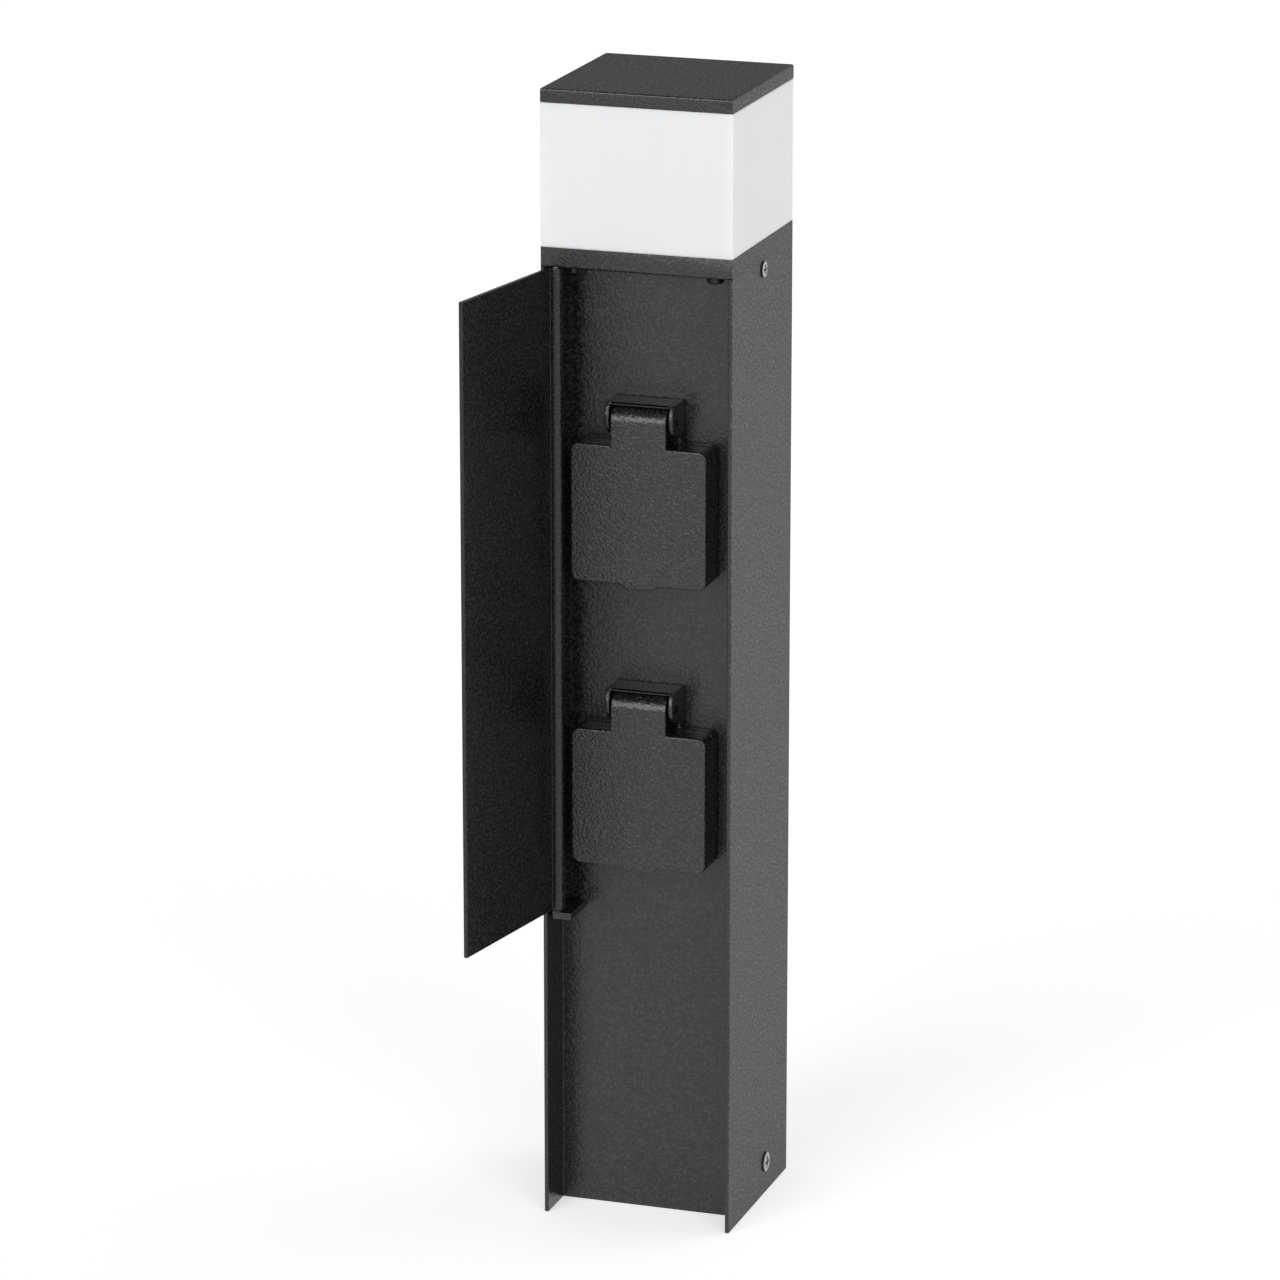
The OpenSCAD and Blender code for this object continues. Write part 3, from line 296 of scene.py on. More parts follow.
def opal_acrylic():
    """Extruded opal acrylic: milky white, satin outside, so light spreads through its walls."""
    hue = bpy.context.scene.socket_post_colours.opal
    draw_lines = 6 * MM

    def build(tree):
        place = add(tree, "ShaderNodeTexCoord").outputs["Object"]
        along = add(tree, "ShaderNodeMapping", {"Vector": place, "Scale": (1, 1, 0.04)}).outputs[0]
        lines = add(tree, "ShaderNodeTexNoise",
                    {"Vector": along, "Scale": per(draw_lines), "Detail": 2}).outputs["Fac"]
        shade = add(tree, "ShaderNodeMapRange", {0: lines, 1: 0.3, 2: 0.7}).outputs[0]
        tone = add(tree, "ShaderNodeMix", {
            0: shade, 6: rgba([v * 0.99 for v in hue]), 7: rgba(hue)}, data_type="RGBA").outputs[2]
        normal = add(tree, "ShaderNodeBump",
                     {"Height": lines, "Strength": 0.04, "Distance": 0.05 * MM}).outputs["Normal"]
        return add(tree, "ShaderNodeBsdfPrincipled", {
            "Base Color": tone, "Roughness": 0.32, "Normal": normal, "IOR": 1.49,
            "Subsurface Weight": 0.6, "Subsurface Scale": 4 * MM,
            "Subsurface Radius": (1, 1, 1)}).outputs[0]
    return material("Opal acrylic", build)


def metal(name, hue, roughness, streak, squeeze):
    """A bare or plated metal with fine streaks along its drawing or rolling direction."""
    def build(tree):
        place = add(tree, "ShaderNodeTexCoord").outputs["Object"]
        along = add(tree, "ShaderNodeMapping", {"Vector": place, "Scale": squeeze}).outputs[0]
        lines = add(tree, "ShaderNodeTexNoise",
                    {"Vector": along, "Scale": per(streak), "Detail": 3}).outputs["Fac"]
        shade = add(tree, "ShaderNodeMapRange", {0: lines, 1: 0.3, 2: 0.7}).outputs[0]
        rough = add(tree, "ShaderNodeMapRange", {
            0: shade, 3: roughness * 0.85, 4: roughness * 1.2}).outputs[0]
        tone = add(tree, "ShaderNodeMix", {
            0: shade, 6: rgba([v * 0.9 for v in hue]), 7: rgba(hue)}, data_type="RGBA").outputs[2]
        normal = add(tree, "ShaderNodeBump",
                     {"Height": lines, "Strength": 0.15, "Distance": 0.02 * MM}).outputs["Normal"]
        return add(tree, "ShaderNodeBsdfPrincipled", {
            "Base Color": tone, "Metallic": 1, "Roughness": rough, "Normal": normal}).outputs[0]
    return material(name, build)


def zinc_plate():
    """Zinc plate on steel, barrelled after plating: bright silver, slightly cloudy."""
    return metal("Zinc plated steel", bpy.context.scene.socket_post_colours.zinc, 0.36, 0.6 * MM, (1, 1, 1))


def mill_aluminium():
    """Aluminium sheet as rolled: pale grey with long fine lines."""
    hue = bpy.context.scene.socket_post_colours.aluminium
    return metal("Mill aluminium", hue, 0.42, 0.5 * MM, (0.06, 1, 1))


def passivated_steel_painted_shade():
    """Steel rod under a dull yellow-grey passivation: grey-beige. Its darkness is partly painted shade, for a
    rod's end in the shade under the head ring.
    """
    return metal("Passivated steel", to_linear("#4A4640"), 0.6, 0.8 * MM, (1, 1, 1))


def blackened_steel():
    """Steel blackened in hot salts and oiled: blue-black, faintly cloudy."""
    return metal("Blackened steel", to_linear("#2A2B2E"), 0.45, 0.8 * MM, (1, 1, 1))


def spring_steel():
    """Drawn spring wire: grey, bright along its length."""
    return metal("Spring steel", to_linear("#9B9DA0"), 0.3, 0.4 * MM, (1, 1, 1))


def bright_brass():
    """Brass strip, pressed and tumbled: warm yellow, soft gloss."""
    return metal("Pressed brass", bpy.context.scene.socket_post_colours.brass, 0.3, 0.7 * MM, (1, 0.15, 1))


def moulded(name, hue, size, roughness):
    """A plain moulded plastic or rubber with a faint skin texture."""
    def build(tree):
        tone, normal, lift = speckled(tree, hue, [min(1, v * 1.1) for v in hue], size, 0.03 * MM, 0.25)
        rough = add(tree, "ShaderNodeMapRange", {
            0: lift, 3: roughness * 0.9, 4: roughness * 1.1}).outputs[0]
        return add(tree, "ShaderNodeBsdfPrincipled", {
            "Base Color": tone, "Roughness": rough, "Normal": normal}).outputs[0]
    return material(name, build)


def seal_rubber():
    """Moulded rubber: matt black with a dusty skin."""
    return moulded("Moulded rubber", bpy.context.scene.socket_post_colours.rubber, 0.6 * MM, 0.55)


def grey_plastic():
    """Moulded polycarbonate: cool grey, satin."""
    return moulded("Grey polycarbonate", bpy.context.scene.socket_post_colours.grey, 0.8 * MM, 0.45)


def white_plastic():
    """Moulded nylon: slightly warm white, satin."""
    return moulded("White nylon", bpy.context.scene.socket_post_colours.white, 0.8 * MM, 0.5)


def black_acetal():
    """Moulded acetal: black and waxy."""
    return moulded("Black acetal", bpy.context.scene.socket_post_colours.rubber, 0.8 * MM, 0.4)


def phosphor():
    """Silicone with phosphor over an LED: grainy yellow gel, glossy."""
    return moulded("Phosphor gel", bpy.context.scene.socket_post_colours.phosphor, 0.3 * MM, 0.25)


def live_insulation():
    """Extruded PVC, brown, with a waxy gloss."""
    return moulded("Brown PVC", bpy.context.scene.socket_post_colours.brown, 1.5 * MM, 0.4)


def neutral_insulation():
    """Extruded PVC, blue, with a waxy gloss."""
    return moulded("Blue PVC", bpy.context.scene.socket_post_colours.blue, 1.5 * MM, 0.4)


def earth_insulation():
    """Extruded PVC in two colours: green on one side of the wire, yellow on the other."""
    hues = bpy.context.scene.socket_post_colours

    def build(tree):
        place = add(tree, "ShaderNodeTexCoord").outputs["Object"]
        across = add(tree, "ShaderNodeSeparateXYZ", {0: place}).outputs["X"]
        side = add(tree, "ShaderNodeMath", {0: across, 1: 0}, operation="GREATER_THAN").outputs[0]
        tone = add(tree, "ShaderNodeMix", {
            0: side, 6: rgba(hues.green), 7: rgba(hues.yellow)}, data_type="RGBA").outputs[2]
        return add(tree, "ShaderNodeBsdfPrincipled", {"Base Color": tone, "Roughness": 0.4}).outputs[0]
    return material("Green and yellow PVC", build)


def pale_floor():
    """Pale matt floor. What the camera and reflections see of it is lifted to white and keeps the shadow."""
    stage = bpy.context.scene.socket_post_stage
    hue = bpy.context.scene.socket_post_colours.floor

    def build(tree):
        ray = add(tree, "ShaderNodeLightPath").outputs
        seen = add(tree, "ShaderNodeMath", {
            0: ray["Is Camera Ray"], 1: ray["Is Glossy Ray"]}, operation="MAXIMUM").outputs[0]
        shown = add(tree, "ShaderNodeMath", {
            0: seen, 1: ray["Is Transmission Ray"]}, operation="MAXIMUM").outputs[0]
        lift = add(tree, "ShaderNodeMath", {0: shown, 1: stage.floor_lift}, operation="MULTIPLY").outputs[0]
        return add(tree, "ShaderNodeBsdfPrincipled", {
            "Base Color": rgba(hue), "Roughness": 0.9, "Specular IOR Level": 0,
            "Emission Color": rgba((1, 1, 1)), "Emission Strength": lift}).outputs[0]
    return material("Pale floor", build)


# Trees that repeat a piece or follow a path

def tree_with(name, inputs):
    """A geometry tree with named inputs, and the sockets that they give."""
    tree = bpy.data.node_groups.new(name, "GeometryNodeTree")
    tree.interface.new_socket("Geometry", in_out="INPUT", socket_type="NodeSocketGeometry")
    for label, kind in inputs.items():
        tree.interface.new_socket(label, in_out="INPUT", socket_type="NodeSocket" + kind)
    tree.interface.new_socket("Geometry", in_out="OUTPUT", socket_type="NodeSocketGeometry")
    return tree, add(tree, "NodeGroupInput").outputs


def close_tree(tree, shape, finish):
    """Ends a tree: its copies made real, with their finish."""
    real = add(tree, "GeometryNodeRealizeInstances", {0: shape}).outputs[0]
    done = add(tree, "GeometryNodeSetMaterial", {"Geometry": real, "Material": finish}).outputs[0]
    add(tree, "NodeGroupOutput", {"Geometry": done})
    return tree


def on_seats(tree, seats, shape):
    """A copy of a shape on each point of a mesh, turned by the point's own angles."""
    angles = add(tree, "GeometryNodeInputNamedAttribute", {"Name": "turn"},
                 data_type="FLOAT_VECTOR").outputs[0]
    turn = add(tree, "FunctionNodeEulerToRotation", {0: angles}).outputs[0]
    return add(tree, "GeometryNodeInstanceOnPoints", {
        "Points": seats, "Instance": shape, "Rotation": turn}).outputs[0]


def screw_tree():
    """Pan-head screw with a cross recess on each point, its head along the point's own direction."""
    tree, given = tree_with("Pan-head screw", {
        "Head radius": "Float", "Head height": "Float", "Dome radius": "Float", "Shank radius": "Float",
        "Shank length": "Float", "Wing": "Vector", "Pit radius": "Float", "Finish": "Material"})
    # Small turns and lengths that keep the cutters' faces from falling together
    askew = (0, 0, 0.03)
    wing_heights = (1, 0.97)
    # Where the pit under the cross ends, in head heights, and its tip's radius
    pit_floor, pit_tip = 0.3, 0.05 * MM
    top = add(tree, "ShaderNodeCombineXYZ", {"Z": given["Head height"]}).outputs[0]
    double = add(tree, "ShaderNodeMath", {0: given["Head height"], 1: 2}, operation="MULTIPLY").outputs[0]
    low = add(tree, "ShaderNodeMath", {
        0: given["Head height"], 1: given["Dome radius"]}, operation="SUBTRACT").outputs[0]
    rim = add(tree, "GeometryNodeTransform", {
        "Geometry": add(tree, "GeometryNodeMeshCylinder", {
            "Vertices": 40, "Radius": given["Head radius"], "Depth": double}).outputs["Mesh"],
        "Translation": top}).outputs[0]
    dome = add(tree, "GeometryNodeTransform", {
        "Geometry": add(tree, "GeometryNodeMeshUVSphere", {
            "Segments": 36, "Rings": 47, "Radius": given["Dome radius"]}).outputs["Mesh"],
        "Translation": add(tree, "ShaderNodeCombineXYZ", {"Z": low}).outputs[0],
        "Rotation": askew}).outputs[0]
    head = add(tree, "GeometryNodeMeshBoolean", {"Mesh 2": [rim, dome]}, operation="INTERSECT",
               solver="EXACT").outputs[0]
    wing = add(tree, "GeometryNodeMeshCube", {"Size": given["Wing"]}).outputs["Mesh"]
    wings = [add(tree, "GeometryNodeTransform", {
        "Geometry": wing, "Translation": top, "Rotation": (0, 0, turn), "Scale": (1, 1, tall)}).outputs[0]
        for turn, tall in zip((0, math.pi / 2), wing_heights)]
    deep = add(tree, "ShaderNodeMath", {
        0: given["Head height"], 1: pit_floor}, operation="MULTIPLY").outputs[0]
    pit = add(tree, "GeometryNodeTransform", {
        "Geometry": add(tree, "GeometryNodeMeshCone", {
            "Vertices": 16, "Radius Top": given["Pit radius"], "Radius Bottom": pit_tip,
            "Depth": given["Head height"]}).outputs["Mesh"],
        "Translation": add(tree, "ShaderNodeCombineXYZ", {"Z": deep}).outputs[0]}).outputs[0]
    cut = add(tree, "GeometryNodeMeshBoolean", {"Mesh 1": head, "Mesh 2": [*wings, pit]},
              operation="DIFFERENCE", solver="EXACT").outputs[0]
    sunk = add(tree, "ShaderNodeMath", {0: given["Shank length"], 1: -0.5}, operation="MULTIPLY").outputs[0]
    shank = add(tree, "GeometryNodeTransform", {
        "Geometry": add(tree, "GeometryNodeMeshCylinder", {
            "Vertices": 24, "Radius": given["Shank radius"], "Depth": given["Shank length"]}).outputs["Mesh"],
        "Translation": add(tree, "ShaderNodeCombineXYZ", {"Z": sunk}).outputs[0]}).outputs[0]
    screw = add(tree, "GeometryNodeJoinGeometry", {0: [cut, shank]}).outputs[0]
    return close_tree(tree, on_seats(tree, given["Geometry"], screw), given["Finish"])


def ring_tree():
    """Flat-topped ring on each point, about the point's own direction."""
    tree, given = tree_with("Sealing ring", {
        "Outer radius": "Float", "Inner radius": "Float", "Height": "Float", "Finish": "Material"})
    half = add(tree, "ShaderNodeMath", {0: given["Height"], 1: 0.5}, operation="MULTIPLY").outputs[0]
    double = add(tree, "ShaderNodeMath", {0: given["Height"], 1: 2}, operation="MULTIPLY").outputs[0]
    disc, hole = (add(tree, "GeometryNodeMeshCylinder", {
        "Vertices": 40, "Radius": given[size], "Depth": depth}).outputs["Mesh"]
        for size, depth in (("Outer radius", given["Height"]), ("Inner radius", double)))
    ring = add(tree, "GeometryNodeTransform", {
        "Geometry": add(tree, "GeometryNodeMeshBoolean", {"Mesh 1": disc, "Mesh 2": hole},
                        operation="DIFFERENCE", solver="EXACT").outputs[0],
        "Translation": add(tree, "ShaderNodeCombineXYZ", {"Z": half}).outputs[0]}).outputs[0]
    return close_tree(tree, on_seats(tree, given["Geometry"], ring), given["Finish"])


def wire_tree():
    """Round wire along a path."""
    tree, given = tree_with("Wire", {
        "Radius": "Float", "Sides": "Int", "Smoothness": "Int", "Finish": "Material"})
    path = add(tree, "GeometryNodeMeshToCurve", {"Mesh": given["Geometry"]}).outputs[0]
    curve = add(tree, "GeometryNodeCurveSplineType", {"Curve": path}, spline_type="CATMULL_ROM").outputs[0]
    fine = add(tree, "GeometryNodeSetSplineResolution", {
        "Geometry": curve, "Resolution": given["Smoothness"]}).outputs[0]
    section = add(tree, "GeometryNodeCurvePrimitiveCircle", {
        "Resolution": given["Sides"], "Radius": given["Radius"]}).outputs[0]
    wire = add(tree, "GeometryNodeCurveToMesh", {
        "Curve": fine, "Profile Curve": section, "Fill Caps": True}).outputs[0]
    return close_tree(tree, wire, given["Finish"])


def chip_tree():
    """Square array of LED chips with sloping sides, centred on one point."""
    tree, given = tree_with("LED chips", {
        "Array": "Float", "Number": "Int", "Half side": "Float", "Height": "Float", "Finish": "Material"})
    array = add(tree, "GeometryNodeMeshGrid", {
        "Size X": given["Array"], "Size Y": given["Array"],
        "Vertices X": given["Number"], "Vertices Y": given["Number"]}).outputs["Mesh"]
    taper = 0.9
    foot = add(tree, "ShaderNodeMath", {
        0: given["Half side"], 1: math.sqrt(2)}, operation="MULTIPLY").outputs[0]
    crown = add(tree, "ShaderNodeMath", {0: foot, 1: taper}, operation="MULTIPLY").outputs[0]
    chip = add(tree, "GeometryNodeTransform", {
        "Geometry": add(tree, "GeometryNodeMeshCone", {
            "Vertices": 4, "Radius Top": crown, "Radius Bottom": foot,
            "Depth": given["Height"]}).outputs["Mesh"],
        "Rotation": (0, 0, math.pi / 4)}).outputs[0]
    one = add(tree, "GeometryNodeInstanceOnPoints", {"Points": array, "Instance": chip}).outputs[0]
    copies = add(tree, "GeometryNodeInstanceOnPoints", {
        "Points": given["Geometry"], "Instance": one}).outputs[0]
    return close_tree(tree, copies, given["Finish"])


# What makes a piece

def link(obj):
    """Puts a new object into the scene."""
    bpy.context.scene.collection.objects.link(obj)
    return obj


def settle(obj, name):
    """A plain mesh object of what an object's modifiers make of it, in the object's stead."""
    graph = bpy.context.evaluated_depsgraph_get()
    mesh = bpy.data.meshes.new_from_object(obj.evaluated_get(graph), depsgraph=graph)
    mesh.name = name
    bpy.data.objects.remove(obj)
    return link(bpy.data.objects.new(name, mesh))


def body_of(node):
    """The body that a node rides on."""
    return next(body for body, nodes in frame["record"]["behaviour"]["bodies"].items() if node in nodes)


def stand_for(piece, nodes, slot):
    """Puts a finished piece in the place of nodes of one body."""
    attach(piece, body_of(nodes[0]))
    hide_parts(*nodes)
    return piece


def rounded(node, radius, finish, slot, share=lambda edge: 1):
    """A finished copy of a node, inside the node's own box: its flat faces made whole, and each sharp edge
    rounded by its share of a radius."""
    mesh = frame["nodes"][node].data.copy()
    shape = bmesh.new()
    shape.from_mesh(mesh)
    bmesh.ops.remove_doubles(shape, verts=shape.verts, dist=WELD)
    bmesh.ops.dissolve_limit(shape, angle_limit=FLAT, verts=shape.verts, edges=shape.edges)
    weight = shape.edges.layers.float.new("bevel_weight_edge")
    for edge in shape.edges:
        if edge.is_manifold and edge.calc_face_angle() > SHARP:
            edge[weight] = share(edge)
            edge.smooth = edge[weight] > 0
    for face in shape.faces:
        face.smooth = True
    shape.to_mesh(mesh)
    shape.free()
    piece = link(bpy.data.objects.new(node + "_raw", mesh))
    bevel = piece.modifiers.new("Edges", "BEVEL")
    bevel.limit_method = "WEIGHT"
    bevel.width = radius
    bevel.segments = EDGE_ROWS
    bevel.use_clamp_overlap = False
    bevel.miter_outer = "MITER_ARC"
    even = piece.modifiers.new("Even shading", "WEIGHTED_NORMAL")
    even.keep_sharp = True
    piece = settle(piece, node + "_finished")
    low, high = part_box(node)
    for vert in piece.data.vertices:
        vert.co = [min(max(vert.co[i], low[i]), high[i]) for i in range(3)]
    piece.data.materials.clear()
    piece.data.materials.append(finish)
    return stand_for(piece, [node], slot)


def lies_in(edge, axis, level):
    """Whether an edge lies in the plane where an axis has a level."""
    return all(abs(vert.co[axis] - level) < WELD for vert in edge.verts)


def path_mesh(paths):
    """A mesh of open paths, each a list of points."""
    points, edges = [], []
    for path in paths:
        edges += [(len(points) + i, len(points) + i + 1) for i in range(len(path) - 1)]
        points += path
    mesh = bpy.data.meshes.new("paths")
    mesh.from_pydata(points, edges, [])
    return mesh


def grow(tree, host, values, name):
    """What a tree makes of a host mesh, as a plain mesh."""
    carrier = link(bpy.data.objects.new(name + "_host", host))
    maker = carrier.modifiers.new("Maker", "NODES")
    maker.node_group = tree
    for socket in tree.interface.items_tree:
        if socket.name in values:
            maker[socket.identifier] = values[socket.name]
    piece = settle(carrier, name)
    shape = bmesh.new()
    shape.from_mesh(piece.data)
    bmesh.ops.remove_doubles(shape, verts=shape.verts, dist=WELD)
    bmesh.ops.recalc_face_normals(shape, faces=shape.faces)
    for face in shape.faces:
        face.smooth = True
    for edge in shape.edges:
        edge.smooth = edge.is_manifold and edge.calc_face_angle() < SHARP
    shape.to_mesh(piece.data)
    shape.free()
    return piece


def shells(node):
    """The points of each separate solid of a node."""
    shape = bmesh.new()
    shape.from_mesh(frame["nodes"][node].data)
    bmesh.ops.remove_doubles(shape, verts=shape.verts, dist=WELD)
    left = set(shape.verts)
    found = []
    while left:
        reached = [left.pop()]
        for vert in reached:
            for edge in vert.link_edges:
                other = edge.other_vert(vert)
                if other in left:
                    left.remove(other)
                    reached.append(other)
        found.append([vert.co.copy() for vert in reached])
    shape.free()
    return sorted(found, key=lambda points: tuple(round(min(p[i] for p in points), 5) for i in range(3)))


def box_of(points):
    """Lowest and highest corner of points."""
    return [Vector(pick(p[i] for p in points) for i in range(3)) for pick in (min, max)]


def dress(node, finish):
    """Gives a node whose shape is right its finish."""
    for slot in frame["nodes"][node].material_slots:
        slot.link = "OBJECT"
        slot.material = finish


# Pieces

class SOCKETPOST_OT_housing(bpy.types.Operator):
    """Coated aluminium: profile, head ring, top cap and hinge bracket"""

    bl_idname = "socket_post.housing"
    bl_label = "Housing"

    # The rims of small holes have edges shorter than this
    RIM_EDGE = 2 * MM

    def execute(self, context):
        radius = context.scene.socket_post_sizes.coat_edge
        for node in ("post_profile", "head_ring", "top_cap", "hinge_bracket"):
            rounded(node, radius, outdoor_coat(), "powder_coat", self.share)
        return {"FINISHED"}

    def share(self, edge):
        """The rims of small holes stay sharp, and so do the cut ends and the seams between the pieces."""
        levels = [corner[2] for node in ("post_profile", "diffuser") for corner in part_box(node)]
        flat = any(lies_in(edge, 2, level) for level in levels)
        return 0 if flat or edge.calc_length() < self.RIM_EDGE else 1


class SOCKETPOST_OT_door(bpy.types.Operator):
    """Coated door panel with its hinge bead, and the pins and washer that it turns on"""

    bl_idname = "socket_post.door"
    bl_label = "Door"

    def execute(self, context):
        rounded("door_panel", context.scene.socket_post_sizes.coat_edge, powder_coat(), "powder_coat")
        for node in ("door_top_pin", "door_bottom_pin"):
            dress(node, zinc_plate())
        dress("thrust_washer", black_acetal())
        return {"FINISHED"}


class SOCKETPOST_OT_diffuser(bpy.types.Operator):
    """Opal diffuser of the lamp"""

    bl_idname = "socket_post.diffuser"
    bl_label = "Diffuser"

    def execute(self, context):
        rounded("diffuser", context.scene.socket_post_sizes.opal_edge, opal_acrylic(), "opal_acrylic")
        return {"FINISHED"}


class SOCKETPOST_OT_sockets(bpy.types.Operator):
    """Moulded socket bodies with their flanges, wells and hinge blocks"""

    bl_idname = "socket_post.sockets"
    bl_label = "Socket bodies"

    # How much of the edges' radius the hinge block and the well get
    HINGE_SHARE = 0.55
    WELL_SHARE = 0.33

    def execute(self, context):
        radius = context.scene.socket_post_sizes.body_edge
        for side in SIDES:
            rounded(side + "_socket_body", radius, socket_plastic(), "socket_plastic", self.share_of(side))
        return {"FINISHED"}

    def share_of(self, side):
        """The flange's front outline is rounded most, then the hinge block, then what lies in the well."""
        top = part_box(side + "_lid_seal")[1][2]
        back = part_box(side + "_lid")[1][1]

        def share(edge):
            if edge.is_convex and all(0 < vert.co.y - back < MM for vert in edge.verts):
                return 1
            return self.HINGE_SHARE if min(vert.co.z for vert in edge.verts) > top else self.WELL_SHARE
        return share


class SOCKETPOST_OT_lids(bpy.types.Operator):
    """Moulded socket lids with their hinge barrels and finger tabs"""

    bl_idname = "socket_post.lids"
    bl_label = "Lids"

    # How much of the edges' radius the arm, the barrel and the inside get
    BACK_SHARE = 0.5

    def execute(self, context):
        for side in SIDES:
            rounded(side + "_lid", context.scene.socket_post_sizes.lid_edge, socket_plastic(),
                    "socket_plastic", self.share_of(side))
        return {"FINISHED"}

    def share_of(self, side):
        """The plate's front outline is rounded most. The arm and the barrel's ends are one line, so alike."""
        low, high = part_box(side + "_lid")
        seal_low, seal_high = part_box(side + "_lid_seal")
        top = (seal_low[2] + seal_high[2]) / 2 + high[0] + WELD

        def share(edge):
            outline = lies_in(edge, 1, low[1]) and all(vert.co.z < top for vert in edge.verts)
            return 1 if outline else self.BACK_SHARE
        return share


class SOCKETPOST_OT_screws(bpy.types.Operator):
    """Pan-head screws of the head, foot, tray and sockets, some in rings, and the terminals' slotted ones"""

    bl_idname = "socket_post.screws"
    bl_label = "Screws"

    # The crown's rise and the cross's depth in head heights, the cross's length, width and pit in head radii
    CROWN_RISE = 0.25
    CROSS_DEPTH = 1.7
    CROSS_LENGTH = 1.25
    CROSS_WIDTH = 0.36
    PIT = 0.36

    def execute(self, context):
        sizes = context.scene.socket_post_sizes
        tree, rings = screw_tree(), ring_tree()
        for node in ("head_screws", "base_screws"):
            host, radius = self.make(tree, node, sizes.side_head, sizes.ring_wall,
                                     lambda middle: Vector((math.copysign(1, middle.x), 0, 0)))
            piece = grow(rings, host, {
                "Outer radius": radius, "Inner radius": radius - sizes.ring_wall, "Height": sizes.ring_rise,
                "Finish": seal_rubber()}, node + "_rings")
            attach(piece, body_of(node))
        for side in SIDES:
            self.make(tree, side + "_flange_screws", sizes.flange_head, 0,
                      lambda middle: Vector((0, -1, 0)))
        self.make(tree, "tray_screws", sizes.flange_head, 0, lambda middle: Vector((0, 0, 1)))
        dress("terminal_screws", zinc_plate())
        return {"FINISHED"}

    def make(self, tree, node, head, margin, heading):
        """Screws where a node has its solids, their heads in a heading and smaller by a margin. Gives their
        seats and the heads' full radius."""
        seats, turns = [], []
        for points in shells(node):
            low, high = box_of(points)
            middle = (low + high) / 2
            along = heading(middle)
            reach = max(along.dot(p) for p in points)
            length_all = reach - min(along.dot(p) for p in points)
            seats.append(middle + along * (reach - head - along.dot(middle)))
            turns.append(along.to_track_quat("Z", "Y").to_euler())
        radius = sorted(high - low)[1] / 2
        shank = min(math.hypot(*(p - middle - along * along.dot(p - middle))) for p in points
                    if along.dot(p) < reach - head - WELD)
        crown = head * self.CROWN_RISE
        rim = radius - margin
        host = bpy.data.meshes.new("seats")
        host.from_pydata(seats, [], [])
        turn = host.attributes.new("turn", "FLOAT_VECTOR", "POINT")
        for i, angles in enumerate(turns):
            turn.data[i].vector = angles
        piece = grow(tree, host.copy(), {
            "Head radius": rim, "Head height": head, "Dome radius": (rim ** 2 + crown ** 2) / (2 * crown),
            "Shank radius": shank, "Shank length": length_all - head,
            "Wing": (rim * self.CROSS_LENGTH, rim * self.CROSS_WIDTH, head * self.CROSS_DEPTH),
            "Pit radius": rim * self.PIT, "Finish": zinc_plate()}, node + "_finished")
        stand_for(piece, [node], "zinc_steel")
        return host, radius


class SOCKETPOST_OT_springs(bpy.types.Operator):
    """Coil springs that close the lids and turn the shutters back"""

    bl_idname = "socket_post.springs"
    bl_label = "Springs"

    # Points in each turn and in the bend of a leg, and the leg's play in the barrel's slot
    STEPS = 16
    BEND_STEPS = 4
    PLAY = 0.02 * MM

    def execute(self, context):
        sizes = context.scene.socket_post_sizes
        tree = wire_tree()
        for side in SIDES:
            node = side + "_lid_spring"
            self.make(tree, node, self.lid_path(node, sizes), sizes.lid_wire)
            node = side + "_shutter_spring"
            self.make(tree, node, self.shutter_path(node, sizes), sizes.shutter_wire)
        return {"FINISHED"}

    def lid_path(self, node, sizes):
        """Coil about X, with a leg that runs out through the barrel's slot to the hinge block's back."""
        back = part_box(node)[1][1]
        pin_low, pin_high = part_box(node.replace("spring", "pin"))
        centre = (Vector(pin_low) + Vector(pin_high)) / 2
        first = centre.x - sizes.lid_pitch * sizes.lid_turns / 2
        count = round(sizes.lid_turns * self.STEPS)
        bend = sizes.lid_wire
        down = sizes.lid_wire / 2 + self.PLAY
        out = math.sqrt((sizes.lid_coil + bend) ** 2 - (bend - down) ** 2)
        start = math.atan2(bend - down, out)
        path = [Vector((first, back, centre.z - down))]
        for i in range(self.BEND_STEPS):
            angle = -math.pi / 2 - (math.pi / 2 - start) * i / self.BEND_STEPS
            path.append(Vector((first, centre.y + out + bend * math.cos(angle),
                                centre.z + bend - down + bend * math.sin(angle))))
        for i in range(count + 1):
            angle = start + 2 * math.pi * i / self.STEPS
            path.append(Vector((first + sizes.lid_pitch * i / self.STEPS,
                                centre.y + sizes.lid_coil * math.cos(angle),
                                centre.z + sizes.lid_coil * math.sin(angle))))
        return path

    def shutter_path(self, node, sizes):
        """Coil about Y between the shutter and the back of its chamber."""
        low, high = (Vector(corner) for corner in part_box(node))
        centre = (low + high) / 2
        first = low.y + sizes.shutter_wire / 2
        rise = high.y - low.y - sizes.shutter_wire
        count = round(sizes.shutter_turns * self.STEPS)
        path = []
        for i in range(count + 1):
            angle = 2 * math.pi * i / self.STEPS
            path.append(Vector((centre.x - sizes.shutter_coil * math.cos(angle), first + rise * i / count,
                                centre.z + sizes.shutter_coil * math.sin(angle))))
        return path

    def make(self, tree, node, path, wire):
        """A spring of a wire along a path."""
        piece = grow(tree, path_mesh([path]), {
            "Radius": wire / 2, "Sides": 12, "Smoothness": 3, "Finish": spring_steel()}, node + "_finished")
        stand_for(piece, [node], "zinc_steel")


